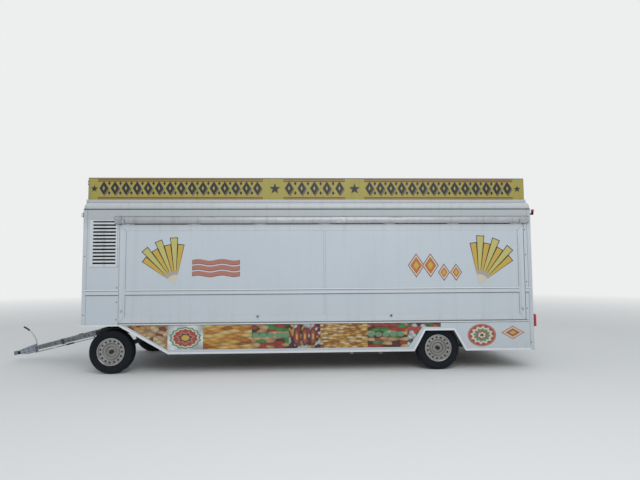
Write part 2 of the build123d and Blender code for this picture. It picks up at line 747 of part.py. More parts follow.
with BuildPart() as strut_rod_front:
    strut_rod(STRUT_X[0], 1)
strut_rod_front.part.label = "strut_rod_front"

with BuildPart() as strut_rod_rear:
    strut_rod(STRUT_X[1], -1)
strut_rod_rear.part.label = "strut_rod_rear"

# Brackets on the flap's inner face that take the struts' studs
BRACKET = 5.0
BRACKET_HALF = 30.0
with BuildPart() as flap_brackets:
    for x, inward in zip(STRUT_X, (1, -1)):
        near_x = x + inward * STUD
        slab(
            min(near_x, near_x + inward * BRACKET),
            max(near_x, near_x + inward * BRACKET),
            -(FLAP_FACE - WALL),
            STRUT_EYE[0] + 2 * STRUT_ROD,
            STRUT_EYE[1] - BRACKET_HALF,
            STRUT_EYE[1] + BRACKET_HALF,
        )
flap_brackets.part.label = "flap_brackets"

# Staff door with its outside hinges and handle
with BuildPart() as rear_door:
    slab(
        REAR - WALL,
        REAR,
        DOOR_NEAR + DOOR_GAP,
        DOOR_FAR - DOOR_GAP,
        DOOR_LOW + DOOR_GAP,
        DOOR_HIGH - DOOR_GAP,
    )
    with BuildSketch(Plane(origin=(REAR, DOOR_FAR - DOOR_BELT_IN, 0), x_dir=(1, 0, 0), z_dir=(0, -1, 0))):
        belt_profile(1)
    extrude(amount=DOOR_WIDTH - DOOR_BELT_IN - DOOR_GAP)
rear_door.part.label = "rear_door"

DOOR_KNUCKLE = 11.0
DOOR_KNUCKLE_LENGTH = 40.0
DOOR_LEAF = 4.0
with BuildPart() as door_hinge_wall:
    for height in DOOR_HINGES:
        with BuildSketch(Plane.XY.offset(height - DOOR_KNUCKLE_LENGTH)):
            with Locations(DOOR_HINGE):
                Circle(DOOR_KNUCKLE)
            with Locations((REAR + DOOR_LEAF / 2, DOOR_HINGE[1] + 2 * DOOR_KNUCKLE)):
                Rectangle(DOOR_LEAF, 4 * DOOR_KNUCKLE)
        extrude(amount=DOOR_KNUCKLE_LENGTH)
        with BuildSketch(Plane.XY.offset(height)):
            with Locations(DOOR_HINGE):
                Circle(DOOR_PIN)
        extrude(amount=DOOR_KNUCKLE_LENGTH)
door_hinge_wall.part.label = "door_hinge_wall"

with BuildPart() as door_fittings:
    for height in DOOR_HINGES:
        with BuildSketch(Plane.XY.offset(height + HINGE_PLAY)):
            with Locations(DOOR_HINGE):
                Circle(DOOR_KNUCKLE)
            with Locations((REAR + DOOR_LEAF / 2, DOOR_HINGE[1] - 3 * DOOR_KNUCKLE)):
                Rectangle(DOOR_LEAF, 6 * DOOR_KNUCKLE)
            with Locations(DOOR_HINGE):
                Circle(DOOR_PIN + HINGE_PLAY, mode=Mode.SUBTRACT)
        extrude(amount=DOOR_KNUCKLE_LENGTH)
    handle_y = DOOR_NEAR + HANDLE_IN
    with BuildSketch(Plane.YZ.offset(REAR)):
        with Locations((handle_y, HANDLE_HEIGHT)):
            SlotOverall(HANDLE_PLATE[0], HANDLE_PLATE[1], rotation=90)
    extrude(amount=HANDLE_PLATE[2])
    with BuildSketch(Plane.YZ.offset(REAR + HANDLE_PLATE[2])):
        with Locations(*[(handle_y, HANDLE_HEIGHT + up * HANDLE_POSTS / 2) for up in (1, -1)]):
            Circle(HANDLE_POST)
    extrude(amount=HANDLE_OUT)
    with BuildSketch(Plane.YZ.offset(REAR + HANDLE_OUT)):
        with Locations((handle_y, HANDLE_HEIGHT)):
            SlotOverall(HANDLE_GRIP[0], HANDLE_GRIP[1], rotation=90)
    extrude(amount=HANDLE_GRIP[2])
door_fittings.part.label = "door_fittings"

# Sign board on feet along the roof's edge
SIGN_BACK = HALF - SIGN_IN - SIGN_DEPTH
with BuildPart() as sign_board:
    slab(
        SIGN_X0,
        SIGN_X1,
        -(HALF - SIGN_IN),
        -SIGN_BACK,
        SIGN_BOTTOM,
        SIGN_BOTTOM + SIGN_HEIGHT,
    )
sign_board.part.label = "sign_board"

FOOT = 40.0
FOOT_DEPTH = 260.0
with BuildPart() as sign_brackets:
    foot_pitch = (SIGN_X1 - SIGN_X0 - 2 * SIGN_FOOT_IN) / (SIGN_FEET - 1)
    for n in range(SIGN_FEET):
        x = SIGN_X0 + SIGN_FOOT_IN + n * foot_pitch
        with BuildSketch(Plane(origin=(x, -SIGN_BACK, ROOF_TOP), x_dir=(0, 1, 0), z_dir=(1, 0, 0))):
            with BuildLine():
                Polyline(
                    (0, 0),
                    (FOOT_DEPTH, 0),
                    (FOOT_DEPTH, SHEET),
                    (SHEET, FOOT_DEPTH),
                    (SHEET, SIGN_HEIGHT - FOOT),
                    (0, SIGN_HEIGHT - FOOT),
                    close=True,
                )
            make_face()
        extrude(amount=SHEET)
sign_brackets.part.label = "sign_brackets"

# Lamps
with BuildPart() as tail_lamps:
    for hand in (-1, 1):
        across = hand * (HALF - POST - LAMP_WIDTH / 2)
        slab(
            REAR,
            REAR + LAMP_DEPTH,
            across - LAMP_WIDTH / 2,
            across + LAMP_WIDTH / 2,
            LAMP_LOW,
            LAMP_HIGH,
        )
    fillet(edges().filter_by(Axis.X), 14.0)
    fillet(faces().sort_by(Axis.X)[-2:].edges(), 10.0)
tail_lamps.part.label = "tail_lamps"

MARKERS = [  # wall, outward direction along x, height
    (FRONT, -1, EAVES - FRONT_MARKER_DROP),
    (REAR, 1, EAVES - REAR_MARKER_DROP),
]
with BuildPart() as marker_lamps:
    for wall, out, height in MARKERS:
        for hand in (-1, 1):
            with BuildSketch(
                Plane(origin=(wall, hand * (HALF - MARKER_IN), height), x_dir=(0, 1, 0), z_dir=(out, 0, 0))
            ):
                RectangleRounded(MARKER_WIDTH, MARKER_HEIGHT, MARKER_ROUND)
            extrude(amount=MARKER_DEPTH, taper=MARKER_TAPER)
marker_lamps.part.label = "marker_lamps"

with BuildPart() as plate_holder:
    slab(REAR, REAR + PLATE_DEPTH, PLATE_IN - HALF, PLATE_IN + PLATE_LENGTH - HALF, PLATE_LOW, PLATE_HIGH)
plate_holder.part.label = "plate_holder"

# Serving counter behind the flap
with BuildPart() as serving_counter:
    counter_start = STEP + WALL
    counter_end = FLAP_X1 - COUNTER_END_IN
    counter_face = -(HALF - WALL - COUNTER_GAP)
    slab(
        counter_start,
        counter_end,
        counter_face,
        counter_face + COUNTER_DEPTH,
        COUNTER_TOP - COUNTER_SHEET,
        COUNTER_TOP,
    )
    with BuildSketch(side(counter_face)):
        with BuildLine():
            Polyline(
                (counter_start, COUNTER_TOP - COUNTER_SHEET),
                (counter_start, LOW_FLOOR),
                (ARCH - BOX_HALF, LOW_FLOOR),
                (ARCH - BOX_HALF, BOX_TOP),
                (ARCH + BOX_HALF, BOX_TOP),
                (ARCH + BOX_HALF, LOW_FLOOR),
                (counter_end, LOW_FLOOR),
                (counter_end, COUNTER_TOP - COUNTER_SHEET),
                close=True,
            )
        make_face()
    extrude(amount=-COUNTER_SHEET)
serving_counter.part.label = "serving_counter"

# Rear axle: a cross tube under the rails with a trailing arm to each hub
ARM_LENGTH = 170.0
ARM_TUBE = 35.0
ARM_WIDTH = 34.0
DRUM_RADIUS = 125.0
DRUM_WIDTH = 60.0
STUB_RADIUS = 30.0
CAP_OUT = 44.0  # the stub's cap ahead of the wheel disc
STUB_LENGTH = HUB_IN + DISC_OUT + CAP_OUT
ARM_FLAT = ARM_TUBE * cos(radians(30))  # middle of the six-sided tube to a flat
TUBE_HEIGHT = RAIL_TOP - RAIL_HEIGHT - ARM_FLAT
DRUM_IN = HUB_FACE - DRUM_WIDTH
ARM_IN = DRUM_IN - ARM_WIDTH


def drum_and_stub(x, hand):
    """Brake drum of one wheel and the stub that the wheel turns on."""
    out = (0, hand, 0)
    round_bar(DRUM_RADIUS, (x, hand * DRUM_IN, WHEEL_RADIUS), out, DRUM_WIDTH)
    round_bar(STUB_RADIUS, (x, hand * HUB_FACE, WHEEL_RADIUS), out, STUB_LENGTH)


with BuildPart() as rear_axle:
    with BuildSketch(side(-ARM_IN)):
        with Locations((REAR_AXLE - ARM_LENGTH, TUBE_HEIGHT)):
            RegularPolygon(ARM_TUBE, 6)
    extrude(amount=-2 * ARM_IN)
    middle = (REAR_AXLE - ARM_LENGTH / 2, (TUBE_HEIGHT + WHEEL_RADIUS) / 2)
    for near in (-DRUM_IN, ARM_IN):
        with BuildSketch(side(near)):
            SlotCenterPoint(middle, (REAR_AXLE, WHEEL_RADIUS), 2 * ARM_TUBE)
        extrude(amount=-ARM_WIDTH)
    for hand in (-1, 1):
        drum_and_stub(REAR_AXLE, hand)
rear_axle.part.label = "rear_axle"

# Turntable: two flanged rings, the upper one fixed to the nose and the lower one to the bogie
RING_LIP = 12.0


def ring_section(z, out):
    """Half section of one ring: a flat flange and an upright lip towards its partner."""
    with BuildSketch(Plane.XZ) as section:
        with BuildLine():
            Polyline(
                (RING_RADIUS - RING_WIDTH, z),
                (RING_RADIUS, z),
                (RING_RADIUS, z + out * RING_LIP),
                (RING_RADIUS - RING_LIP, z + out * RING_LIP),
                (RING_RADIUS - RING_LIP, z + out * RING_HEIGHT),
                (RING_RADIUS - RING_WIDTH, z + out * RING_HEIGHT),
                close=True,
            )
        make_face()
    revolve(section.sketch, axis=Axis.Z)


with BuildPart() as turntable_upper:
    ring_section(RING_TOP, -1)
turntable_upper.part.position = (FRONT_AXLE, 0, 0)
turntable_upper.part.label = "turntable_upper"

with BuildPart() as turntable_lower:
    ring_section(RING_BASE, 1)
turntable_lower.part.position = (FRONT_AXLE, 0, 0)
turntable_lower.part.label = "turntable_lower"

# Bogie frame under the turntable, with the ears of the drawbar's hinge
EAR = 12.0
EAR_RADIUS = 28.0
DRAWBAR_PLAY = 0.5
EYE_HALF = DRAWBAR_WIDTH / 2
BOGIE_TOP = RING_BASE
BOGIE_LOW = RING_BASE - BOGIE_RAIL
with BuildPart() as bogie_frame:
    for across in (-BOGIE_HALF, -RING_RADIUS / 2, RING_RADIUS / 2, BOGIE_HALF):
        slab(
            FRONT_AXLE - BOGIE_REACH + 2 * EAR_RADIUS,
            FRONT_AXLE + BOGIE_REACH,
            across - RAIL_WIDTH / 2,
            across + RAIL_WIDTH / 2,
            BOGIE_LOW,
            BOGIE_TOP,
        )
    for along in (-BOGIE_REACH + 2 * EAR_RADIUS, -RAIL_WIDTH / 2, BOGIE_REACH - RAIL_WIDTH):
        slab(
            FRONT_AXLE + along,
            FRONT_AXLE + along + RAIL_WIDTH,
            -BOGIE_HALF,
            BOGIE_HALF,
            BOGIE_LOW,
            BOGIE_TOP,
        )
    for across in (-BOGIE_HALF, BOGIE_HALF):
        for near in (across - EYE_HALF - DRAWBAR_PLAY - EAR, across + EYE_HALF + DRAWBAR_PLAY):
            with BuildSketch(side(near)):
                with Locations((PIVOT, PIVOT_HEIGHT)):
                    Circle(EAR_RADIUS)
                with Locations((PIVOT + EAR_RADIUS, PIVOT_HEIGHT)):
                    Rectangle(2 * EAR_RADIUS, 2 * EAR_RADIUS)
            extrude(amount=-EAR)
        with BuildSketch(side(across - EYE_HALF - DRAWBAR_PLAY)):
            with Locations((PIVOT, PIVOT_HEIGHT)):
                Circle(PIVOT_PIN)
        extrude(amount=-2 * (EYE_HALF + DRAWBAR_PLAY))
bogie_frame.part.label = "bogie_frame"

# Leaf springs between the bogie rails and the axle
LEAF_THICK = 10.0
LEAVES = 4
SPRING_SEAT = WHEEL_RADIUS + AXLE_RADIUS
SPRING_RISE = 70.0
with BuildPart() as front_springs:
    for across in (-BOGIE_HALF, BOGIE_HALF):
        for n in range(LEAVES):
            reach = SPRING_HALF * (1 - 0.2 * (LEAVES - 1 - n))
            share = (reach / SPRING_HALF) ** 2
            low = SPRING_SEAT + n * LEAF_THICK
            with BuildSketch(side(across - SPRING_WIDTH / 2)):
                with BuildLine():
                    ThreePointArc(
                        (FRONT_AXLE - reach, low + SPRING_RISE * share),
                        (FRONT_AXLE, low),
                        (FRONT_AXLE + reach, low + SPRING_RISE * share),
                    )
                    Line(
                        (FRONT_AXLE + reach, low + SPRING_RISE * share),
                        (FRONT_AXLE + reach, low + SPRING_RISE * share + LEAF_THICK),
                    )
                    ThreePointArc(
                        (FRONT_AXLE + reach, low + SPRING_RISE * share + LEAF_THICK),
                        (FRONT_AXLE, low + LEAF_THICK),
                        (FRONT_AXLE - reach, low + SPRING_RISE * share + LEAF_THICK),
                    )
                    Line(
                        (FRONT_AXLE - reach, low + SPRING_RISE * share + LEAF_THICK),
                        (FRONT_AXLE - reach, low + SPRING_RISE * share),
                    )
                make_face()
            extrude(amount=-SPRING_WIDTH)
        for end in (-1, 1):
            eye = (FRONT_AXLE + end * SPRING_HALF, SPRING_SEAT + SPRING_RISE + (LEAVES - 0.5) * LEAF_THICK)
            with BuildSketch(side(across - SPRING_WIDTH / 2)):
                with Locations(eye):
                    Circle(1.6 * LEAF_THICK)
                with Locations((eye[0], (eye[1] + BOGIE_LOW) / 2)):
                    Rectangle(1.6 * LEAF_THICK, BOGIE_LOW - eye[1])
            extrude(amount=-SPRING_WIDTH)
front_springs.part.label = "front_springs"

with BuildPart() as front_axle:
    with BuildSketch(side(-DRUM_IN)):
        with Locations((FRONT_AXLE, WHEEL_RADIUS)):
            Rectangle(2 * AXLE_RADIUS, 2 * AXLE_RADIUS)
    extrude(amount=-2 * DRUM_IN)
    for hand in (-1, 1):
        drum_and_stub(FRONT_AXLE, hand)
front_axle.part.label = "front_axle"

# Drawbar in its own tilted frame: u along the bar to its nose, v up from it
TILT = radians(REST_ANGLE)
BAR_ALONG = (-cos(TILT), 0, -sin(TILT))
BAR_PLANE = Plane(origin=(PIVOT, 0, PIVOT_HEIGHT), x_dir=BAR_ALONG, z_dir=(-sin(TILT), 0, cos(TILT)))
BAR_SIDE = Plane(origin=(PIVOT, 0, PIVOT_HEIGHT), x_dir=BAR_ALONG, z_dir=(0, 1, 0))
NECK = 87.0  # from the housing's end to the ball's middle
HOUSING_TAPER = 120.0
HOUSING_FLAT = 130.0
HOUSING_END = DRAWBAR_LENGTH - NECK
HOUSING_BELLY = HOUSING_END - HOUSING_TAPER
JOIN = HOUSING_BELLY - HOUSING_FLAT  # where the two rails meet, from the hinge
JOIN_HALF = 45.0
CROSS_BAR = 700.0
HOUSING_TOP = 68.0
HOUSING_FOOT = 65.0
HOUSING_HALF = 38.0
EYE_ROUND = 24.0

with BuildPart() as drawbar_frame:
    for hand in (-1, 1):
        with BuildSketch(BAR_PLANE.offset(-DRAWBAR_RAIL / 2)):
            with BuildLine():
                Polyline(
                    (EYE_ROUND, -hand * (BOGIE_HALF - EYE_HALF)),
                    (EYE_ROUND, -hand * (BOGIE_HALF + EYE_HALF)),
                    (2.5 * EYE_ROUND, -hand * (BOGIE_HALF + EYE_HALF)),
                    (JOIN, -hand * JOIN_HALF),
                    (JOIN, 0),
                    (JOIN - DRAWBAR_WIDTH, 0),
                    (2.5 * EYE_ROUND, -hand * (BOGIE_HALF - EYE_HALF)),
                    close=True,
                )
            make_face()
        extrude(amount=DRAWBAR_RAIL)
        with BuildSketch(BAR_SIDE.offset(hand * BOGIE_HALF - EYE_HALF)):
            Circle(EYE_ROUND)
            with Locations((EYE_ROUND / 2, 0)):
                Rectangle(1.2 * EYE_ROUND, 2 * EYE_ROUND)
        extrude(amount=2 * EYE_HALF)
        with BuildSketch(BAR_SIDE.offset(hand * BOGIE_HALF - EYE_HALF)):
            Circle(PIVOT_PIN + HUB_PLAY)
        extrude(amount=2 * EYE_HALF, mode=Mode.SUBTRACT)
    cross_half = BOGIE_HALF - (BOGIE_HALF - JOIN_HALF) * CROSS_BAR / JOIN
    with BuildSketch(BAR_PLANE.offset(-DRAWBAR_RAIL / 2)):
        with Locations((CROSS_BAR, 0)):
            Rectangle(DRAWBAR_WIDTH, 2 * cross_half)
    extrude(amount=DRAWBAR_RAIL)
drawbar_frame.part.label = "drawbar_frame"

with BuildPart() as coupling_housing:
    with BuildSketch(BAR_SIDE.offset(-HOUSING_HALF)):
        with BuildLine():
            Polyline(
                (JOIN, HOUSING_TOP),
                (HOUSING_END, DRAWBAR_RAIL / 2),
                (HOUSING_END, -DRAWBAR_RAIL / 2),
                (HOUSING_BELLY, -HOUSING_FOOT),
                (JOIN, -HOUSING_FOOT),
                close=True,
            )
        make_face()
    extrude(amount=2 * HOUSING_HALF)
coupling_housing.part.label = "coupling_housing"

with BuildPart() as coupling_head:
    skirt = BAR_PLANE.offset(-HEAD_SKIRT)
    with BuildSketch(skirt):
        with Locations((DRAWBAR_LENGTH, 0)):
            Circle(HEAD_RADIUS)
    extrude(amount=2 * HEAD_SKIRT + 4.0)
    with BuildSketch(BAR_PLANE.offset(-HEAD_SKIRT / 2)):
        with Locations(((HOUSING_END + DRAWBAR_LENGTH) / 2, 0)):
            Rectangle(DRAWBAR_LENGTH - HOUSING_END, 1.5 * HEAD_RADIUS)
    extrude(amount=1.5 * HEAD_SKIRT)
    socket = BAR_SIDE.from_local_coords((DRAWBAR_LENGTH, 0, 0))
    with BuildSketch(Plane(origin=socket, x_dir=BAR_SIDE.x_dir, z_dir=BAR_SIDE.z_dir)):
        with BuildLine():
            Polyline((0, BALL / 2), (0, -HEAD_SKIRT), (BALL / 2, -HEAD_SKIRT), (BALL / 2, 0))
            CenterArc((0, 0), BALL / 2, 0, 90)
        make_face()
    revolve(axis=Axis(socket, BAR_SIDE.y_dir), mode=Mode.SUBTRACT)
coupling_head.part.label = "coupling_head"

LEVER_LINE = ((1324.0, 20.0), (1313.0, 122.0), (1367.0, 286.0), (1459.0, 390.0))
LEVER_WIDTH = 12.0
with BuildPart() as handbrake_lever:
    with BuildSketch(BAR_SIDE.offset(HOUSING_HALF)):
        with BuildLine():
            Spline(*LEVER_LINE)
        trace(line_width=16.0)
    extrude(amount=LEVER_WIDTH)
handbrake_lever.part.label = "handbrake_lever"

# Wheels: a tyre on a dished steel rim with round holes near its edge
TYRE_BEAD = 10.0
SHOULDER = 34.0
RIM_GAP = 0.2
DISH = TYRE_WIDTH / 2 - 2 * TYRE_BEAD - DISC_OUT
RIM_SHEET = 9.0
HOLE_RING = 156.0
HOLE_RADIUS = 12.0
RIDGE = 96.0  # raised ring round the dish
RIDGE_OUT = 20.0
RIDGE_HALF = 9.0


def tyre(x, hand):
    """Tyre revolved from its half section: bead, bulging wall, shoulder and tread."""
    half = TYRE_WIDTH / 2
    middle = hand * WHEEL_MIDDLE
    hub = Plane(origin=(x, middle, WHEEL_RADIUS), x_dir=(1, 0, 0), z_dir=(0, 0, 1))
    with BuildSketch(hub) as section:
        with BuildLine():
            tread = Line((WHEEL_RADIUS, -half + SHOULDER), (WHEEL_RADIUS, half - SHOULDER))
            ThreePointArc(
                tread @ 1,
                (WHEEL_RADIUS - SHOULDER / 3, half - SHOULDER / 3),
                (WHEEL_RADIUS - SHOULDER, half - 4.0),
            )
            ThreePointArc(
                (WHEEL_RADIUS - SHOULDER, half - 4.0),
                (WHEEL_RADIUS - 2 * SHOULDER, half),
                (RIM_RADIUS, half - 2 * TYRE_BEAD),
            )
            Line((RIM_RADIUS, half - 2 * TYRE_BEAD), (RIM_RADIUS, -half + 2 * TYRE_BEAD))
            ThreePointArc(
                (RIM_RADIUS, -half + 2 * TYRE_BEAD),
                (WHEEL_RADIUS - 2 * SHOULDER, -half),
                (WHEEL_RADIUS - SHOULDER, -half + 4.0),
            )
            ThreePointArc(
                (WHEEL_RADIUS - SHOULDER, -half + 4.0),
                (WHEEL_RADIUS - SHOULDER / 3, -half + SHOULDER / 3),
                tread @ 0,
            )
        make_face()
    revolve(section.sketch, axis=Axis((x, middle, WHEEL_RADIUS), (0, 1, 0)))


def rim(x, hand):
    """Rim barrel with its flange, and a dished disc bored for the stub."""
    out = Plane(origin=(x, hand * WHEEL_MIDDLE, WHEEL_RADIUS), x_dir=(1, 0, 0), z_dir=(0, 0, hand))
    half = TYRE_WIDTH / 2 - 2 * TYRE_BEAD
    bore = STUB_RADIUS + HUB_PLAY
    with BuildSketch(out) as section:
        with BuildLine():
            Polyline(
                (RIM_RADIUS, -half),
                (RIM_RADIUS, half + RIM_SHEET),
                (RIM_RADIUS - RIM_FLANGE, half + RIM_SHEET),
                (RIM_RADIUS - 1.5 * RIM_FLANGE, half - RIM_SHEET),
                (HOLE_RING - 2 * HOLE_RADIUS, half - RIM_SHEET),
                (RIDGE + 2 * RIDGE_HALF, half - DISH + RIDGE_OUT / 2),
                (RIDGE + RIDGE_HALF, half - DISH + RIDGE_OUT),
                (RIDGE - RIDGE_HALF, half - DISH + RIDGE_OUT),
                (RIDGE - 3 * RIDGE_HALF, half - DISH),
                (bore, half - DISH),
                (bore, half - DISH - RIM_SHEET),
                (HOLE_RING - 3 * HOLE_RADIUS, half - DISH - RIM_SHEET),
                (HOLE_RING - 2 * HOLE_RADIUS + RIM_SHEET, half - 2 * RIM_SHEET),
                (RIM_RADIUS - RIM_SHEET, half - 2 * RIM_SHEET),
                (RIM_RADIUS - RIM_SHEET, -half),
                close=True,
            )
        make_face()
    revolve(section.sketch, axis=Axis((x, 0, WHEEL_RADIUS), (0, 1, 0)))
    face = Plane(origin=(x, hand * WHEEL_MIDDLE, WHEEL_RADIUS), x_dir=(1, 0, 0), z_dir=(0, hand, 0))
    with BuildSketch(face.offset(half - 4 * RIM_SHEET)) as holes:
        with PolarLocations(HOLE_RING, TRIM_HOLES):
            Circle(HOLE_RADIUS)
    extrude(holes.sketch, amount=4 * RIM_SHEET, mode=Mode.SUBTRACT)


wheels = []
for end, axle_x in (("front", FRONT_AXLE), ("rear", REAR_AXLE)):
    for name, hand in (("near", -1), ("far", 1)):
        with BuildPart() as wheel_tyre:
            tyre(axle_x, hand)
        wheel_tyre.part.label = f"tyre_{end}_{name}"
        with BuildPart() as wheel_rim:
            rim(axle_x, hand)
        wheel_rim.part.label = f"rim_{end}_{name}"
        wheels += [wheel_tyre.part, wheel_rim.part]

PIECES = [
    builder.part
    for builder in (
        skirt_near,
        skirt_far,
        wall_pier,
        wall_rear_pier,
        wall_header,
        wall_far,
        wall_front,
        wall_rear,
        corner_posts,
        roof_rim,
        roof_panel,
        floor_low,
        wheel_boxes,
        floor_raised,
        bulkhead,
        chassis_frame,
        nose_frame,
        skirt_trim,
        belt_rails,
        louvre_vent,
        hinge_cover,
        flap_frame,
        flap_panel,
        flap_latches,
        hinge_body,
        hinge_flap,
        jamb_posts,
        strut_tube_front,
        strut_tube_rear,
        strut_rod_front,
        strut_rod_rear,
        flap_brackets,
        rear_door,
        door_hinge_wall,
        door_fittings,
        sign_board,
        sign_brackets,
        tail_lamps,
        marker_lamps,
        plate_holder,
        serving_counter,
        rear_axle,
        turntable_upper,
        turntable_lower,
        bogie_frame,
        front_springs,
        front_axle,
        drawbar_frame,
        coupling_housing,
        coupling_head,
        handbrake_lever,
    )
]
for piece in PIECES + wheels:
    export_step(piece, f"parts/{piece.label}.step")
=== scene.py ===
from math import cos, pi, radians, sin

import bpy
import numpy as np
from mathutils import Matrix, Vector


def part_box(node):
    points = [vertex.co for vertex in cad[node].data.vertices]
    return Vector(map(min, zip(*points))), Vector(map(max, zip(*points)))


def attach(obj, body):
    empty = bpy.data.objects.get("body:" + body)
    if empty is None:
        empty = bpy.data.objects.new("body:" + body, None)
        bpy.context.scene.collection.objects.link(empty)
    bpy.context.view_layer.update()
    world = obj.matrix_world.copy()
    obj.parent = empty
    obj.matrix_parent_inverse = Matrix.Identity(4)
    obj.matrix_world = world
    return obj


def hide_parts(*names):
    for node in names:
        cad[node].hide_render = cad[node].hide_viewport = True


# Low-floor catering trailer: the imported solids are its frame, and everything below dresses them.
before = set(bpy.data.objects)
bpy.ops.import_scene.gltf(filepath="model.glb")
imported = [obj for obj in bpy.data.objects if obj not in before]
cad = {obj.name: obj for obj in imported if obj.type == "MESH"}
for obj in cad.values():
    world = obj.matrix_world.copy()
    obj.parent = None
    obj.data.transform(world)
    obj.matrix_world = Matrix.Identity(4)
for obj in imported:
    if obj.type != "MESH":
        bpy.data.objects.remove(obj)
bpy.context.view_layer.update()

# Camera: standing 7.2 m in front of the serving side, at eye height, looking slightly upwards
# and turned a little towards the rear, through a wide lens.
CAMERA_PLACE = Vector((0.6030, -8.331, 1.484))
CAMERA_YAW = radians(2.34)
CAMERA_PITCH = radians(3.70)
CAMERA_ROLL = radians(-0.34)
FOCAL_PIXELS = 480.7
PHOTO_WIDTH = 640
SENSOR_WIDTH = 36.0

ahead = Vector(
    (
        sin(CAMERA_YAW) * cos(CAMERA_PITCH),
        cos(CAMERA_YAW) * cos(CAMERA_PITCH),
        sin(CAMERA_PITCH),
    )
)
level = Vector((cos(CAMERA_YAW), -sin(CAMERA_YAW), 0))
upright = level.cross(ahead)
right = level * cos(CAMERA_ROLL) + upright * sin(CAMERA_ROLL)
up = upright * cos(CAMERA_ROLL) - level * sin(CAMERA_ROLL)
lens = bpy.data.cameras.new("camera")
lens.sensor_width = SENSOR_WIDTH
lens.lens = FOCAL_PIXELS / PHOTO_WIDTH * SENSOR_WIDTH
lens.clip_end = 400
camera = bpy.data.objects.new("camera", lens)
bpy.context.scene.collection.objects.link(camera)
turned_to = Matrix((right, up, -ahead)).transposed().to_4x4()
camera.matrix_world = Matrix.Translation(CAMERA_PLACE) @ turned_to
bpy.context.scene.camera = camera

# Floor and light: a pale floor that runs on into a pale backdrop, under a broad soft sky and
# one large soft lamp high in front. Far out, the floor takes the backdrop's own colour.
BACKDROP = "#EDEEEE"
FLOOR_HALF = 150.0
FLOOR_NEAR = 9.0
FLOOR_FAR = 26.0
SKY_LIGHT = 0.585
SKY_COLOUR = (0.93, 0.97, 1.0, 1.0)
LAMP_PLACE = Vector((2.0, -9.5, 8.0))
LAMP_AIM = Vector((0, 0, 1))
LAMP_SIZE = 7.0
LAMP_WATTS = 396.0
FLOOR_ROUGHNESS = 0.9
FLOOR_SHEEN = 0.1


def linear(hex_colour):
    """Turns an sRGB hex value to linear red, green, blue and a full alpha."""
    srgb = np.array([int(hex_colour[i : i + 2], 16) for i in (1, 3, 5)]) / 255
    value = np.where(srgb <= 0.04045, srgb / 12.92, ((srgb + 0.055) / 1.055) ** 2.4)
    return (*value.tolist(), 1.0)


def add(tree, kind, inputs=(), **settings):
    """Adds a node, sets its own settings, and gives each input a value or a link from a socket."""
    made = tree.nodes.new("ShaderNode" + kind)
    for name, value in settings.items():
        setattr(made, name, value)
    for socket, value in dict(inputs).items():
        if isinstance(value, bpy.types.NodeSocket):
            tree.links.new(value, made.inputs[socket])
        else:
            made.inputs[socket].default_value = value
    return made


def ranged(tree, value, low=0.0, high=1.0, at_low=0.0, at_high=1.0):
    """Socket that runs from at_low to at_high while value runs from low to high, then stays."""
    ends = {"From Min": low, "From Max": high, "To Min": at_low, "To Max": at_high}
    return add(tree, "MapRange", {"Value": value, **ends}).outputs[0]


def new_material(name):
    """Empty material: its tree, its shader and its Object coordinates."""
    made = bpy.data.materials.new(name)
    made.use_nodes = True
    tree = made.node_tree
    tree.nodes.clear()
    shader = add(tree, "BsdfPrincipled")
    add(tree, "OutputMaterial", {"Surface": shader.outputs[0]})
    return made, tree, shader, add(tree, "TexCoord").outputs["Object"]


world = bpy.data.worlds.new("sky")
bpy.context.scene.world = world
world.use_nodes = True
sky = world.node_tree
sky.nodes.clear()
ray = add(sky, "LightPath")
rays = {0: ray.outputs["Is Camera Ray"], 1: ray.outputs["Is Glossy Ray"]}
seen = add(sky, "Math", rays, operation="MAXIMUM")
soft = add(sky, "Background", {"Color": SKY_COLOUR, "Strength": SKY_LIGHT})
pale = add(sky, "Background", {"Color": linear(BACKDROP), "Strength": 1.0})
mixed = add(sky, "MixShader", {0: seen.outputs[0], 1: soft.outputs[0], 2: pale.outputs[0]})
add(sky, "OutputWorld", {"Surface": mixed.outputs[0]})

lamp = bpy.data.lights.new("soft_lamp", "AREA")
lamp.size = LAMP_SIZE
lamp.energy = LAMP_WATTS
lamp_object = bpy.data.objects.new("soft_lamp", lamp)
bpy.context.scene.collection.objects.link(lamp_object)
lamp_object.location = LAMP_PLACE
lamp_object.rotation_euler = (LAMP_AIM - LAMP_PLACE).to_track_quat("-Z", "Y").to_euler()

floor_mesh = bpy.data.meshes.new("floor")
floor_mesh.from_pydata(
    [(x * FLOOR_HALF, y * FLOOR_HALF, 0) for x, y in ((-1, -1), (1, -1), (1, 1), (-1, 1))],
    [],
    [(0, 1, 2, 3)],
)
floor = bpy.data.objects.new("floor", floor_mesh)
bpy.context.scene.collection.objects.link(floor)
floor_finish, tree, shader, coords = new_material("floor_pale")
shader.inputs["Base Color"].default_value = linear(BACKDROP)
shader.inputs["Roughness"].default_value = FLOOR_ROUGHNESS
shader.inputs["Specular IOR Level"].default_value = FLOOR_SHEEN
distance = add(tree, "VectorMath", {0: coords}, operation="LENGTH")
fade = ranged(tree, distance.outputs["Value"], FLOOR_NEAR, FLOOR_FAR)
glow = add(tree, "Emission", {"Color": linear(BACKDROP)})
blended = add(tree, "MixShader", {0: fade, 1: shader.outputs[0], 2: glow.outputs[0]})
tree.links.new(blended.outputs[0], tree.nodes["Material Output"].inputs["Surface"])
floor_mesh.materials.append(floor_finish)

bpy.context.scene.view_settings.view_transform = "Standard"

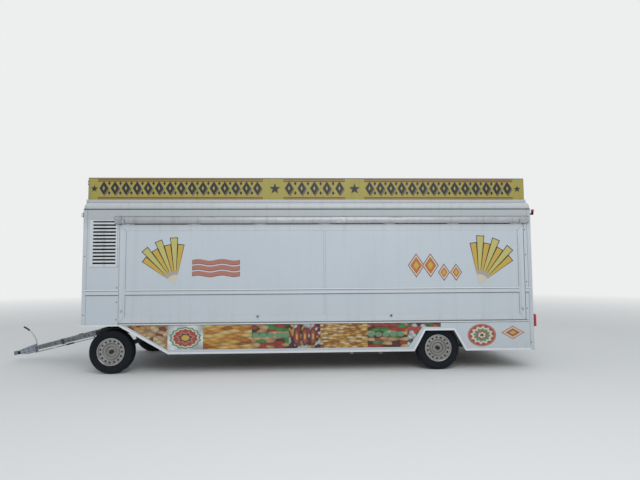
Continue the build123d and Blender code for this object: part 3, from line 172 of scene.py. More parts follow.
# Chassis and running gear: welded box section, rings, axles and leaf springs, sprayed black. The
# paint has gone dull and grey with dust from the road.
CLOUDS_A_METRE = 1.1
STREAK_STRETCH = (9.0, 9.0, 0.5)
STREAKS_A_METRE = 1.6
STREAK_ENDS = (0.52, 0.78)
SPOTS_A_METRE = 14.0
PEEL_A_METRE = 420.0
PEEL_DEPTH = 0.0001
PEEL_STRENGTH = 0.3
WAVE_STRENGTH = 0.6
ROUGHER_WITH_DIRT = 0.4
EAVES_SHADE_HEIGHTS = (2.08, 2.27)  # heights between which the painted shade under the roof grows


def blend(tree, share, colour, other):
    """Socket that gives colour where share is 0 and the other colour where it is 1."""
    return add(tree, "Mix", {0: share, 6: colour, 7: other}, data_type="RGBA").outputs[2]


def noise(tree, coords, scale, detail, roughness=0.5):
    """Socket with cloudy noise from 0 to 1, about scale patches to the metre."""
    settings = {"Vector": coords, "Scale": scale, "Detail": detail, "Roughness": roughness}
    return add(tree, "TexNoise", settings).outputs["Fac"]


def weathered(name, colour, cloud, dirt, **look):
    """Painted or moulded finish with soft clouds, streaks that run down, and dirt low down.

    The share of the dirt colour is streaks + foot * spots + eaves, where eaves is painted shade under
    the roof, not dirt. look gives roughness, metallic, specular, streak (share of dirt in the
    streaks), low and high (heights in metres between which the road dirt fades out), splash (its share
    at the foot), eaves (share of painted shade that darkens the finish towards the top, under the
    roof's overhang), wave (depth of the skin's unevenness in metres) and waves_a_metre (how close
    together its waves lie).
    """
    made, tree, shader, coords = new_material(name)
    cloudy = blend(tree, noise(tree, coords, CLOUDS_A_METRE, 5.0), linear(colour), linear(cloud))
    stretched = add(tree, "Mapping", {"Vector": coords, "Scale": STREAK_STRETCH}).outputs[0]
    runs = noise(tree, stretched, STREAKS_A_METRE, 6.0)
    streaks = ranged(tree, runs, *STREAK_ENDS, 0.0, look.get("streak", 0.3))
    height = add(tree, "SeparateXYZ", {0: coords}).outputs["Z"]
    ends = (look.get("low", 0.24), look.get("high", 0.75))
    foot = ranged(tree, height, *ends, look.get("splash", 0.35), 0.0)
    spots = noise(tree, coords, SPOTS_A_METRE, 8.0, 0.7)
    splashed = add(tree, "Math", {0: foot, 1: spots}, operation="MULTIPLY")
    low_dirt = add(tree, "Math", {0: streaks, 1: splashed.outputs[0]}, operation="ADD")
    # Painted shade under the roof's overhang: the finish turns darker towards the top.
    eaves = ranged(tree, height, *EAVES_SHADE_HEIGHTS, 0.0, look.get("eaves", 0.0))
    dirt_and_shade = add(tree, "Math", {0: low_dirt.outputs[0], 1: eaves}, operation="ADD").outputs[0]
    tree.links.new(blend(tree, dirt_and_shade, cloudy, linear(dirt)), shader.inputs["Base Color"])
    rough = look.get("roughness", 0.35)
    worn = ranged(tree, dirt_and_shade, 0.0, 1.0, rough, min(rough + ROUGHER_WITH_DIRT, 1.0))
    tree.links.new(worn, shader.inputs["Roughness"])
    shader.inputs["Metallic"].default_value = look.get("metallic", 0.0)
    shader.inputs["Specular IOR Level"].default_value = look.get("specular", 0.5)
    waves = noise(tree, coords, look.get("waves_a_metre", 4.0), 1.0)
    wavy = {"Height": waves, "Distance": look.get("wave", 0.0015), "Strength": WAVE_STRENGTH}
    swell = add(tree, "Bump", wavy).outputs[0]
    peel = noise(tree, coords, PEEL_A_METRE, 2.0)
    pitted = {"Height": peel, "Distance": PEEL_DEPTH, "Strength": PEEL_STRENGTH}
    skin = add(tree, "Bump", {**pitted, "Normal": swell})
    tree.links.new(skin.outputs[0], shader.inputs["Normal"])
    return made


def finish_nodes(material, *names):
    """Gives a material to every slot of these solids."""
    for name in names:
        mesh = cad[name].data
        mesh.materials.clear()
        mesh.materials.append(material)


chassis_black = weathered(
    "chassis_paint_black",
    "#1C2023",
    "#25282B",
    "#57544F",
    roughness=0.6,
    streak=0.2,
    low=0.1,
    high=0.8,
    splash=0.4,
    wave=0.0003,
)
finish_nodes(
    chassis_black,
    "chassis_frame",
    "nose_frame",
    "bulkhead",
    "bogie_frame",
    "turntable_upper",
    "turntable_lower",
    "front_springs",
    "front_axle",
    "rear_axle",
)

# Floors and wheel boxes: brown film-faced plywood with a pressed grip pattern, and folded
# galvanised sheet over the rear wheels.
plywood = weathered(
    "film_faced_plywood",
    "#6F5D4C",
    "#5E4F42",
    "#93897B",
    roughness=0.5,
    streak=0.1,
    wave=0.0002,
)
finish_nodes(plywood, "floor_low", "floor_raised")
box_sheet = weathered(
    "galvanised_sheet",
    "#A9ADAF",
    "#989DA0",
    "#77736C",
    roughness=0.42,
    metallic=0.75,
    streak=0.3,
    splash=0.8,
)
finish_nodes(box_sheet, "wheel_boxes")

# Tyres: moulded rubber with four grooves round the tread, cuts across its shoulders, and raised
# rings on the walls. Each replaces its plain solid.
WHEELS = [(end, side, hand) for end in ("front", "rear") for side, hand in (("near", -1), ("far", 1))]
TREAD_RADIUS = 0.320
TREAD_HALF = 0.0605
GROOVES = (-0.036, -0.012, 0.012, 0.036)
GROOVE_HALF = 0.0034
GROOVE_DEPTH = 0.007
TREAD_PITCHES = 70
STEPS_A_PITCH = 6
CUT_DEPTH = 0.0055
RIB_CUT_DEPTH = 0.0022
SHOULDER_RADIUS = 0.297


def grid_faces(rows, columns, wrap_rows=False, wrap_columns=False):
    """Quads between neighbouring points of a grid that is stored row by row."""
    row = np.arange(rows if wrap_rows else rows - 1)[:, None]
    column = np.arange(columns if wrap_columns else columns - 1)[None, :]
    next_row = (row + 1) % rows
    next_column = (column + 1) % columns
    corners = (
        row * columns + column,
        row * columns + next_column,
        next_row * columns + next_column,
        next_row * columns + column,
    )
    return np.stack(np.broadcast_arrays(*corners), -1).reshape(-1, 4)


def mesh_piece(name, points, faces, body, slot, *materials, index=None, sharp=35):
    """One mesh at its place, riding on a body; edges steeper than the sharp angle stay hard."""
    mesh = bpy.data.meshes.new(name)
    mesh.from_pydata(np.asarray(points).reshape(-1, 3).tolist(), [], [list(face) for face in faces])
    for material in materials:
        mesh.materials.append(material)
    if index is not None:
        mesh.polygons.foreach_set("material_index", np.asarray(index, dtype=np.int32))
    mesh.shade_smooth()
    mesh.set_sharp_from_angle(angle=radians(sharp))
    piece = bpy.data.objects.new(name, mesh)
    bpy.context.scene.collection.objects.link(piece)
    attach(piece, body)
    return piece


def turned(section, turns, centre, out, rise=0):
    """Section (distance along out, radius) turned about the line through centre along out.

    A point is centre + out * a + (u cos t + v sin t) * r, with u, v and out at right angles.
    rise is added to the radius: one number, or an array (points of the section, turns).
    """
    section = np.asarray(section)
    out = np.asarray(out, dtype=float)
    u = np.array([1.0, 0, 0]) if abs(out[0]) < 0.5 else np.array([0, 1.0, 0])
    v = np.cross(out, u)
    angle = np.arange(turns) * 2 * pi / turns
    radius = np.broadcast_to(section[:, 1:2] + rise, (len(section), turns))[..., None]
    spoke = u * np.cos(angle)[:, None] + v * np.sin(angle)[:, None]
    return np.asarray(centre) + section[:, None, :1] * out + spoke * radius


rubber = weathered(
    "tyre_rubber",
    "#0F141B",
    "#151A20",
    "#46454A",
    roughness=0.82,
    specular=0.22,
    streak=0.08,
    low=0.0,
    high=0.5,
    splash=0.25,
    wave=0.0002,
)
wall_half = [
    (0.0905, 0.286),
    (0.0925, 0.276),
    (0.0935, 0.275),
    (0.0942, 0.268),
    (0.0936, 0.266),
    (0.0945, 0.252),
    (0.0930, 0.238),
    (0.0942, 0.236),
    (0.0935, 0.226),
    (0.0900, 0.222),
    (0.0860, 0.212),
    (0.0800, 0.207),
    (0.0745, 0.200),
]
shoulder_half = [(TREAD_HALF, TREAD_RADIUS), (0.0720, 0.3172), (0.0832, 0.3087), (0.0885, 0.298)]
tread = [(-TREAD_HALF, TREAD_RADIUS)]
for middle in GROOVES:
    tread += [
        (middle - GROOVE_HALF, TREAD_RADIUS),
        (middle - GROOVE_HALF / 2, TREAD_RADIUS - GROOVE_DEPTH),
        (middle + GROOVE_HALF / 2, TREAD_RADIUS - GROOVE_DEPTH),
        (middle + GROOVE_HALF, TREAD_RADIUS),
    ]
outer_half = shoulder_half + wall_half
inner_half = [(-across, radius) for across, radius in outer_half[:0:-1]]
tyre_section = np.array(inner_half + tread + outer_half)
steps = TREAD_PITCHES * STEPS_A_PITCH
step = np.arange(steps) % STEPS_A_PITCH
across = np.abs(tyre_section[:, 0])[:, None]
on_tread = tyre_section[:, 1][:, None] > SHOULDER_RADIUS
on_ribs = across <= GROOVES[-1] + GROOVE_HALF / 2
shoulder_cut = on_tread & ~on_ribs & (step < 2)
rib_cut = on_tread & on_ribs & (step == 3)
cuts = -CUT_DEPTH * shoulder_cut - RIB_CUT_DEPTH * rib_cut
for end, side, hand in WHEELS:
    low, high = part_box(f"tyre_{end}_{side}")
    hub = (low + high) / 2
    tyre = mesh_piece(
        f"tyre_tread_{end}_{side}",
        turned(tyre_section, steps, hub, (0, hand, 0), cuts),
        grid_faces(len(tyre_section), steps, wrap_rows=True, wrap_columns=True),
        f"wheel_{end}_{side}",
        "tyre",
        rubber,
    )
    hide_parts(f"tyre_{end}_{side}")

# Wheel discs: pressed steel, sprayed silver and dulled by brake dust, with a bright edge ring, a
# pressed-in black cap over the hub and a rubber valve between two holes. Black rings round the holes
# and a black ring behind them are painted shade in the holes.
EDGE_RING = [(0.0835, 0.1998), (0.0865, 0.1985), (0.0870, 0.1945), (0.0850, 0.1915), (0.0815, 0.1905)]
HUB_CAP = [(0.0790, 0.0285), (0.0840, 0.0280), (0.0862, 0.0255), (0.0864, 0.0215), (0.0850, 0.0207)]
DUST_CAP = [(0.0850, 0.0207), (0.0868, 0.0190), (0.0892, 0.0120), (0.0900, 0.0002)]
# Painted shade: a black ring behind the holes, and black rings round them on the face.
HOLE_BACK_SHADE = [(0.0600, 0.1740), (0.0600, 0.1380)]
DISC_RIDGE = [(0.0540, 0.1045), (0.0572, 0.1025), (0.0590, 0.0960), (0.0572, 0.0895), (0.0540, 0.0875)]
BOLTS = 5
BOLT_RING = 0.060
BOLT = [(0.0340, 0.0085), (0.0430, 0.0085), (0.0440, 0.0070), (0.0440, 0.0001)]
HOLES = 15
HOLE_RING = 0.156
HOLE_SHADE = [(0.0660, 0.0156), (0.0658, 0.0112)]
VALVE = [(0.055, 0.005), (0.070, 0.004), (0.0775, 0.0045), (0.079, 0.001)]
VALVE_RING = 0.150
VALVE_ANGLE = pi / 2 - 0.21
DISC_SIDES = 64
BRIGHT = 0  # places of the three finishes in the trim's list of materials
PAINT = 1
BLACK = 2
DISC_PARTS = [
    (EDGE_RING, BRIGHT),
    (DISC_RIDGE, PAINT),
    (HUB_CAP, BLACK),
    (DUST_CAP, BLACK),
    (HOLE_BACK_SHADE, BLACK),
]
rim_silver = weathered(
    "wheel_paint_silver",
    "#A5A5A3",
    "#969592",
    "#5A554E",
    roughness=0.32,
    metallic=0.5,
    streak=0.35,
    low=0.1,
    high=0.6,
    splash=0.3,
    wave=0.0002,
)
bright_edge = weathered(
    "wheel_edge_polished",
    "#C4C6C8",
    "#B5B8BA",
    "#8B8880",
    roughness=0.3,
    metallic=0.7,
    streak=0.3,
    wave=0.0001,
)
# Black plastic for caps, valves and grips, also used as painted shade in and behind the disc's holes.
black_plastic_and_shade = weathered(
    "black_plastic_and_painted_shade", "#0E1013", "#14171A", "#3F3D3A", roughness=0.6, wave=0.0001
)


def on_ring(hub, radius, angle):
    """Point hub + radius * (cos t, 0, sin t), in the plane of a wheel disc."""
    return hub + Vector((radius * cos(angle), 0, radius * sin(angle)))


for end, side, hand in WHEELS:
    finish_nodes(rim_silver, f"rim_{end}_{side}")
    low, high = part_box(f"tyre_{end}_{side}")
    hub = (low + high) / 2
    out = (0, hand, 0)
    points = [turned(part, DISC_SIDES, hub, out) for part, finish in DISC_PARTS]
    finishes = [finish for part, finish in DISC_PARTS]
    for n in range(BOLTS):
        place = on_ring(hub, BOLT_RING, 2 * pi * (n + 0.3) / BOLTS)
        points.append(turned(BOLT, 6, place, out))
        finishes.append(PAINT)
    for n in range(HOLES):
        place = on_ring(hub, HOLE_RING, 2 * pi * n / HOLES)
        points.append(turned(HOLE_SHADE, 20, place, out))
        finishes.append(BLACK)
    points.append(turned(VALVE, 12, on_ring(hub, VALVE_RING, VALVE_ANGLE), out))
    finishes.append(BLACK)
    faces = []
    index = []
    first = 0
    for part, finish in zip(points, finishes):
        quads = grid_faces(part.shape[0], part.shape[1], wrap_columns=True) + first
        faces += quads.tolist()
        index += [finish] * len(quads)
        first += part.shape[0] * part.shape[1]
    mesh_piece(
        f"wheel_trim_{end}_{side}",
        np.concatenate([part.reshape(-1, 3) for part in points]),
        faces,
        f"wheel_{end}_{side}",
        "rim",
        bright_edge,
        rim_silver,
        black_plastic_and_shade,
        index=index,
    )

# Walls, skirts and doors: sandwich panels with a white gel-coated skin, laid up in a mould. The
# skin is glossy with a faint wave, and rain has left grey streaks and road dirt low down.
PANEL_WHITE = "#C6CED5"
PANEL_CLOUD = "#BDC6CE"
STREAK_GREY = "#9A9B97"
# eaves darkens the skin towards its top: painted shade under the roof's overhang.
gelcoat = weathered(
    "gelcoat_white",
    PANEL_WHITE,
    PANEL_CLOUD,
    STREAK_GREY,
    streak=0.1,
    low=0.28,
    high=0.8,
    splash=0.3,
    eaves=0.42,
)
finish_nodes(
    gelcoat,
    "skirt_near",
    "skirt_far",
    "wall_pier",
    "wall_rear_pier",
    "wall_header",
    "wall_far",
    "wall_front",
    "wall_rear",
    "flap_panel",
    "rear_door",
)

# Aluminium edging: extruded strips over the panels' joints, painted with the body. Dirt lies along
# them as thin dark lines, with painted shadow lines under the belt and sill strips, and their screws
# have domed heads with a stain round each.
BOX_FACES = np.array(
    [(0, 1, 3, 2), (4, 6, 7, 5), (0, 4, 5, 1), (2, 3, 7, 6), (0, 2, 6, 4), (1, 5, 7, 3)]
)
nose_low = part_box("wall_front")[0]
tail_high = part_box("wall_rear")[1]
flap_low, flap_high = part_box("flap_frame")
skirt_low, skirt_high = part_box("skirt_near")
belt_low, belt_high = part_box("belt_rails")
FRONT_X = nose_low.x
REAR_X = tail_high.x
SIDE_Y = skirt_low.y
POST_LEG = 0.062
SILL_FOOT = 0.027
LIP_OUT = 0.020
LINE_OUT = 0.0006
LINE_IN = 0.0002
BELT_FACE = -0.0080
BELT_SHADE = 0.0040
BELT_LINE = (1.2070, 1.2130)
BELT_HIGHLIGHT_LIP = (1.2133, 1.2267)
FAR_JOINTS = (-1.05, 0.95, 2.62)
STEADY_X = (1.36, 1.79)
SCREW_HEAD = (0.0062, 0.0042)  # radius, height
SCREW_STAIN = (0.0098, 0.0012)
FAR_HEAD = (0.0055, 0.003)
DOME_SIDES = 10


def bars(name, rows, body, slot, material, soften=0.0, bend=None):
    """Straight strips, one a row: low and high x, low and high y, low and high z, in metres.

    A corner takes the low or the high value of each pair. bend moves the points afterwards, and
    soften is the width of the rounding along every edge.
    """
    low_high = np.asarray(rows, dtype=float).reshape(-1, 3, 2)
    pick = np.indices((2, 2, 2)).reshape(3, 8).T
    points = low_high[:, np.arange(3)[None, :], pick]
    faces = (BOX_FACES[None] + 8 * np.arange(len(low_high))[:, None, None]).reshape(-1, 4)
    if bend is not None:
        points, turn_over = bend(points)
        faces = faces[:, ::-1] if turn_over else faces
    piece = mesh_piece(name, points, faces, body, slot, material)
    if soften:
        rounding = piece.modifiers.new("soften", "BEVEL")
        rounding.width = soften
        rounding.segments = 2
        rounding.limit_method = "ANGLE"
    return piece


def both_sides(*rows):
    """Each row for bars, followed by its mirror image on the other side: y becomes -y."""
    paired = []
    for x0, x1, y0, y1, z0, z1 in rows:
        paired += [(x0, x1, y0, y1, z0, z1), (x0, x1, -y1, -y0, z0, z1)]
    return paired


def belt_shadow_lines(x0, x1, wall_y):
    """Painted shadow under the belt rail, and a dark line along it, from x0 to x1, over a wall whose
    face lies at wall_y.
    """
    line_y = wall_y + BELT_FACE - LINE_OUT
    return [
        (x0, x1, line_y, wall_y, belt_low.z - BELT_SHADE, belt_low.z + BELT_SHADE),
        (x0, x1, line_y, wall_y + BELT_FACE + 0.005, *BELT_LINE),
    ]


def belt_highlight_lip(x0, x1, wall_y):
    """Painted highlight: a brighter strip on the belt rail's upper lip from x0 to x1, over a wall
    whose face lies at wall_y.
    """
    return (x0, x1, wall_y + BELT_FACE - 0.0008, wall_y + BELT_FACE + 0.0010, *BELT_HIGHLIGHT_LIP)


def domes(name, places, radius, height, out, body, slot, material):
    """Domed heads at these places: one small dome, r = radius * cos(a), h = height * sin(a)."""
    angle = np.array([0.0, 0.0, 0.6, 1.1, 1.52])
    section = np.stack([height * np.sin(angle), radius * np.cos(angle)], -1)
    section[0, 0] = -height / 2
    dome = turned(section, DOME_SIDES, (0, 0, 0), out).reshape(-1, 3)
    points = np.asarray(places, dtype=float)[:, None] + dome[None]
    quads = grid_faces(len(angle), DOME_SIDES, wrap_columns=True)
    faces = (quads[None] + len(dome) * np.arange(len(points))[:, None, None]).reshape(-1, 4)
    return mesh_piece(name, points, faces, body, slot, material)


# eaves darkens the edging towards its top: painted shade under the roof's overhang.
trim_white = weathered(
    "painted_aluminium_edging",
    "#CBD2D8",
    "#C0C7CD",
    "#8F918F",
    roughness=0.3,
    metallic=0.1,
    streak=0.18,
    low=0.28,
    high=0.8,
    splash=0.4,
    eaves=0.35,
    wave=0.0006,
)
# Dark grey for dirt in the joints, and for painted shadow under the belt and sill strips and round the
# louvre.
joint_dirt_and_shadow_grey = weathered(
    "joint_dirt_and_painted_shadow", "#4A5056", "#5A6065", "#3F4244", roughness=0.8, wave=0.0001
)
screw_zinc = weathered(
    "screw_zinc_dull", "#8C8F90", "#7D8082", "#5D564C", roughness=0.45, metallic=0.7, wave=0.0001
)
finish_nodes(trim_white, "corner_posts", "belt_rails", "flap_frame", "jamb_posts")
# A brighter copy of the edging paint: painted highlight on the lips, beads and strips that catch the
# light.
edging_highlight_white = weathered(
    "edging_paint_painted_highlight",
    "#E6EAED",
    "#DCE1E5",
    "#A5A5A1",
    roughness=0.3,
    streak=0.15,
    splash=0.3,
    wave=0.0004,
)
finish_nodes(edging_highlight_white, "skirt_trim")
sill_z = skirt_high.z
foot_z = skirt_low.z
sill_x = (flap_low.x - 0.012, flap_high.x + 0.045)
sill_strip = (*sill_x, SIDE_Y - 0.0045, SIDE_Y + 0.001, sill_z - SILL_FOOT, sill_z - 0.003)
bars("sill_strip", both_sides(sill_strip), "root", "aluminium", trim_white, soften=0.0015)
# Painted highlight: a bright bead along the sill strip.
sill_highlight_bead = (*sill_x, SIDE_Y - 0.0085, SIDE_Y - 0.0040, sill_z - SILL_FOOT, sill_z - 0.0125)
bars("sill_highlight_bead", [sill_highlight_bead], "root", "panel", edging_highlight_white, soften=0.0018)
nose_z = nose_low.z
nose_x = (FRONT_X - LIP_OUT, FRONT_X + 0.004)
side_x = (FRONT_X - LIP_OUT, flap_low.x - 0.006)
inner_y = (SIDE_Y + POST_LEG, -SIDE_Y - POST_LEG)
nose_lips = [
    (*nose_x, SIDE_Y - 0.006, -SIDE_Y + 0.006, nose_z - 0.002, nose_z + 0.004),
    (FRONT_X - 0.004, FRONT_X + 0.001, *inner_y, nose_z, nose_z + 0.030),
    *both_sides((*side_x, SIDE_Y - 0.011, SIDE_Y + 0.010, nose_z - 0.003, nose_z + 0.015)),
    (REAR_X - 0.002, REAR_X + 0.016, SIDE_Y - 0.005, -SIDE_Y + 0.005, foot_z - 0.003, foot_z + 0.009),
]
bars("nose_lip", nose_lips, "root", "panel", edging_highlight_white, soften=0.0012)
seam_front = FRONT_X + POST_LEG
seam_rear = REAR_X - POST_LEG
pier_edge = flap_low.x - 0.0065
wall_top = tail_high.z
line_y = (SIDE_Y - LINE_OUT, SIDE_Y + LINE_IN)
pier_z = (nose_z + 0.01, sill_z + 1.45)
seams = both_sides(
    (seam_front - 0.0015, seam_front + 0.0015, *line_y, nose_z, wall_top),
    (seam_rear - 0.0018, seam_rear + 0.0018, *line_y, foot_z + 0.06, wall_top),
)
seams += [
    (pier_edge - 0.0008, pier_edge + 0.0004, *line_y, *pier_z),
    # Painted shadow under the sill strip and in the recess above its bead.
    (*sill_x, SIDE_Y - 0.0012, SIDE_Y, sill_z - SILL_FOOT - 0.0080, sill_z - SILL_FOOT - 0.0002),
    (*sill_x, SIDE_Y - 0.0052, SIDE_Y - 0.0040, sill_z - 0.0122, sill_z - 0.0035),
    (flap_high.x + 0.0052, flap_high.x + 0.0085, *line_y, *pier_z),
]
seams += belt_shadow_lines(seam_front, flap_low.x - 0.008, SIDE_Y)
seams += belt_shadow_lines(flap_high.x + 0.008, seam_rear, SIDE_Y)
for x in FAR_JOINTS:
    seams.append((x - 0.0012, x + 0.0012, -SIDE_Y - LINE_IN, -SIDE_Y + LINE_OUT, sill_z, wall_top))
bars("panel_joints", seams, "root", "black", joint_dirt_and_shadow_grey)
# Painted highlight along the belt rail's upper lip.
lips = [
    belt_highlight_lip(FRONT_X + 0.004, flap_low.x - 0.008, SIDE_Y),
    belt_highlight_lip(flap_high.x + 0.008, REAR_X - 0.004, SIDE_Y),
]
bars("belt_lips", lips, "root", "panel", edging_highlight_white, soften=0.0004)
far_y = (-SIDE_Y, -SIDE_Y + 0.0005)
far_covers = [(x - 0.018, x + 0.018, *far_y, sill_z, wall_top) for x in FAR_JOINTS]
bars("far_joint_covers", far_covers, "root", "aluminium", trim_white)
front_screws = [(pier_edge - 0.028, z) for z in (2.124, 1.825, 1.571, 1.257, 1.048, 0.794)]
rear_screws = [(flap_high.x + 0.028, z) for z in (2.097, 1.717, 1.306, 0.905)]
low_screws = [(seam_rear + 0.008, 0.396), (FRONT_X + 0.03, 0.86), (FRONT_X + 0.03, 1.72)]
screws = [(x, SIDE_Y - 0.0002, z) for x, z in front_screws + rear_screws + low_screws]
domes("edging_screws", screws, *SCREW_HEAD, (0, -1, 0), "root", "zinc", screw_zinc)
domes("screw_stains", screws, *SCREW_STAIN, (0, -1, 0), "root", "black", joint_dirt_and_shadow_grey)
post_heights = np.arange(0.9, 2.4, 0.35).tolist()
post_x = (seam_front - 0.02, seam_rear + 0.02)
post_screws = [(x, -SIDE_Y + 0.0002, z) for x in post_x for z in post_heights]
domes("far_screws", post_screws, *FAR_HEAD, (0, 1, 0), "root", "zinc", screw_zinc)
leg = (SIDE_Y + 0.042, SIDE_Y + 0.048, foot_z - 0.028, foot_z + 0.05)
pad = (SIDE_Y + 0.02, SIDE_Y + 0.07, foot_z - 0.032, foot_z - 0.026)
steadies = [(x - 0.022, x + 0.022, *leg) for x in STEADY_X]
steadies += [(x - 0.03, x + 0.03, *pad) for x in STEADY_X]
bars("steady_pads", steadies, "root", "galvanised", box_sheet, soften=0.001)

# Roof: one moulded sheet with rounded edges that overhangs the walls, and sealant in the joint
# under it, kept dark as painted shadow of the overhang. A folded strip along the near edge carries
# the sign.
roof_low, roof_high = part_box("roof_rim")
roof_white = weathered(
    "gelcoat_roof",
    "#C9CED2",
    "#BBC1C5",
    "#8B8D8A",
    roughness=0.35,
    streak=0.22,
    low=roof_low.z - 0.01,
    high=roof_low.z + 0.06,
    splash=0.85,
)
finish_nodes(roof_white, "roof_rim", "roof_panel")
# Dark strips under the roof's edge and the sign's strip: sealant, and painted shadow of the overhang.
sealant_and_shadow = weathered("sealant_and_painted_shadow_grey", "#3C4145", "#34393D", "#5C5B56", roughness=0.8, wave=0.0001)
board_low, board_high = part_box("sign_board")
board_y = board_low.y
roof_z = roof_high.z
strip_x = (board_low.x - 0.05, board_high.x + 0.05)
roof_strip = [
    (*strip_x, board_y - 0.018, board_y - 0.014, roof_z - 0.012, roof_z + 0.036),
    (*strip_x, board_y - 0.016, board_high.y + 0.01, roof_z + 0.008, roof_z + 0.012),
]
bars("roof_strip", roof_strip, "root", "aluminium", trim_white, soften=0.001)
SEAL_DROP = 0.010
seal_z = (roof_low.z - SEAL_DROP, roof_low.z + 0.003)
across_y = (SIDE_Y + 0.01, -SIDE_Y - 0.01)
strip_foot = (board_y - 0.022, board_y - 0.018, roof_z - 0.016, roof_z - 0.007)
eaves_seals = [
    *both_sides((FRONT_X + 0.01, REAR_X - 0.01, SIDE_Y - 0.0045, SIDE_Y + 0.002, *seal_z)),
    (FRONT_X - 0.0045, FRONT_X + 0.002, *across_y, *seal_z),
    (REAR_X - 0.002, REAR_X + 0.0045, *across_y, *seal_z),
    (board_low.x - 0.04, board_high.x + 0.04, *strip_foot),
]
bars("eaves_shadow_seal", eaves_seals, "root", "black", sealant_and_shadow, soften=0.001)

# Serving flap: a light frame with a raised bead along its inner edge, mitred at the corners, round
# a white panel whose two skins meet under a flat cover strip. Black rubber closes the slit.
frame_y = flap_low.y
FRAME_WIDTH = 0.089
SKIN_JOINT = 0.963
COVER_HALF = 0.012
BEAD = 0.012
BEAD_OUT = 0.004
FOLD = (0.026, 0.030)
RUBBER_IN = 0.0015
RUBBER_OUT = 0.005
KNOB = (0.0125, 0.006)  # radius, height
LOCK_HALF = (0.014, 0.005)
LOCK_PLACES = [(FRONT_X + 2.560, 0.822), (FRONT_X + 4.543, 0.817)]
in_left = flap_low.x + FRAME_WIDTH
in_right = flap_high.x - FRAME_WIDTH
in_low = flap_low.z + FRAME_WIDTH
in_high = flap_high.z - FRAME_WIDTH
bead = (frame_y - BEAD_OUT, frame_y + 0.001, in_low, in_high)
fold = (frame_y - 0.002, frame_y + 0.001, in_low - 0.02, in_high + 0.02)
flap_beads = [
    (in_left - BEAD, in_left, *bead),
    (in_left - FOLD[1], in_left - FOLD[0], *fold),
    (in_right, in_right + BEAD, *bead),
    (in_right + FOLD[0], in_right + FOLD[1], *fold),
]
bars("flap_beads", flap_beads, "flap", "aluminium", trim_white, soften=0.0015)
skin_y = frame_y + 0.004
cover_runs = [(in_low, belt_low.z - 0.001), (belt_high.z + 0.001, in_high)]
cover_box = (SKIN_JOINT - COVER_HALF, SKIN_JOINT + COVER_HALF, skin_y - 0.0025, skin_y)
covers = [(*cover_box, *run) for run in cover_runs]
bars("skin_cover", covers, "flap", "panel", gelcoat, soften=0.0008)
skin_line = (skin_y - LINE_OUT, skin_y)
joint_lines = []
for run in cover_runs:
    for x in (SKIN_JOINT - 0.0135, SKIN_JOINT + 0.0135):
        joint_lines.append((x - 0.0006, x + 0.0006, *skin_line, *run))
for x in (in_left + 0.0015, in_right - 0.0015):
    joint_lines.append((x - 0.0016, x + 0.0016, *skin_line, in_low, in_high))
joint_lines += belt_shadow_lines(in_left, in_right, skin_y)
bars("flap_joints", joint_lines, "flap", "black", joint_dirt_and_shadow_grey)
# Painted highlight along the flap's belt lip.
flap_lip = belt_highlight_lip(in_left, in_right, skin_y)
bars("flap_belt_lip", [flap_lip], "flap", "panel", edging_highlight_white, soften=0.0004)
edge_y = (SIDE_Y + 0.0015, SIDE_Y + 0.030)
rubber_left = flap_low.x - RUBBER_OUT
rubber_right = flap_high.x + RUBBER_OUT
rubber_z = (flap_low.z - RUBBER_OUT, flap_high.z)
foot_run = (flap_low.z - RUBBER_OUT, flap_low.z - RUBBER_IN)
flap_rubbers = [
    (flap_high.x + RUBBER_IN, rubber_right, *edge_y, *rubber_z),
    (rubber_left, rubber_right, *edge_y, *foot_run),
]
bars("flap_seal", flap_rubbers, "root", "black", rubber)
seal_pale = weathered(
    "seal_rubber_pale", "#83898E", "#777D82", "#5F6265", roughness=0.7, wave=0.0001
)
pale_run = (rubber_left, flap_low.x - RUBBER_IN, *edge_y, *rubber_z)
bars("flap_seal_front", [pale_run], "root", "black", seal_pale)
mitres = []
MITRE_SHIFT = 0.00091
for outer_x, inner_x in ((flap_low.x, in_left), (flap_high.x, in_right)):
    for outer_z, inner_z in ((flap_low.z, in_low), (flap_high.z, in_high)):
        lean = MITRE_SHIFT if (inner_x - outer_x) * (inner_z - outer_z) > 0 else -MITRE_SHIFT
        face = np.array(
            [
                (outer_x - MITRE_SHIFT, frame_y - 0.0004, outer_z + lean),
                (outer_x + MITRE_SHIFT, frame_y - 0.0004, outer_z - lean),
                (inner_x + MITRE_SHIFT, frame_y - 0.0004, inner_z - lean),
                (inner_x - MITRE_SHIFT, frame_y - 0.0004, inner_z + lean),
            ]
        )
        facing = np.cross(face[1] - face[0], face[2] - face[1])
        mitres.append(face if facing[1] < 0 else face[::-1])
quads = np.arange(16).reshape(4, 4)
mesh_piece("flap_mitres", np.array(mitres), quads, "flap", "black", joint_dirt_and_shadow_grey)
knob_white = weathered(
    "knob_plastic_cream", "#C9CBC6", "#BDBFBA", "#8B8982", roughness=0.4, wave=0.0001
)
finish_nodes(screw_zinc, "flap_latches", "flap_brackets")
finish_nodes(trim_white, "hinge_flap", "hinge_body")
latch_low, latch_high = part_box("flap_latches")
knobs = [(latch_low.x + 0.013, latch_low.y, 0.916), (latch_high.x - 0.013, latch_low.y, 0.902)]
domes("flap_knobs", knobs, *KNOB, (0, -1, 0), "flap", "panel", knob_white)
lock_y = (latch_low.y - 0.002, latch_low.y + 0.010)
half_x, half_z = LOCK_HALF
locks = [(x - half_x, x + half_x, *lock_y, z - half_z, z + half_z) for x, z in LOCK_PLACES]
bars("lock_lever_front", locks[:1], "flap", "zinc", seal_pale, soften=0.001)
bars("lock_lever_rear", locks[1:], "flap", "black", black_plastic_and_shade, soften=0.001)

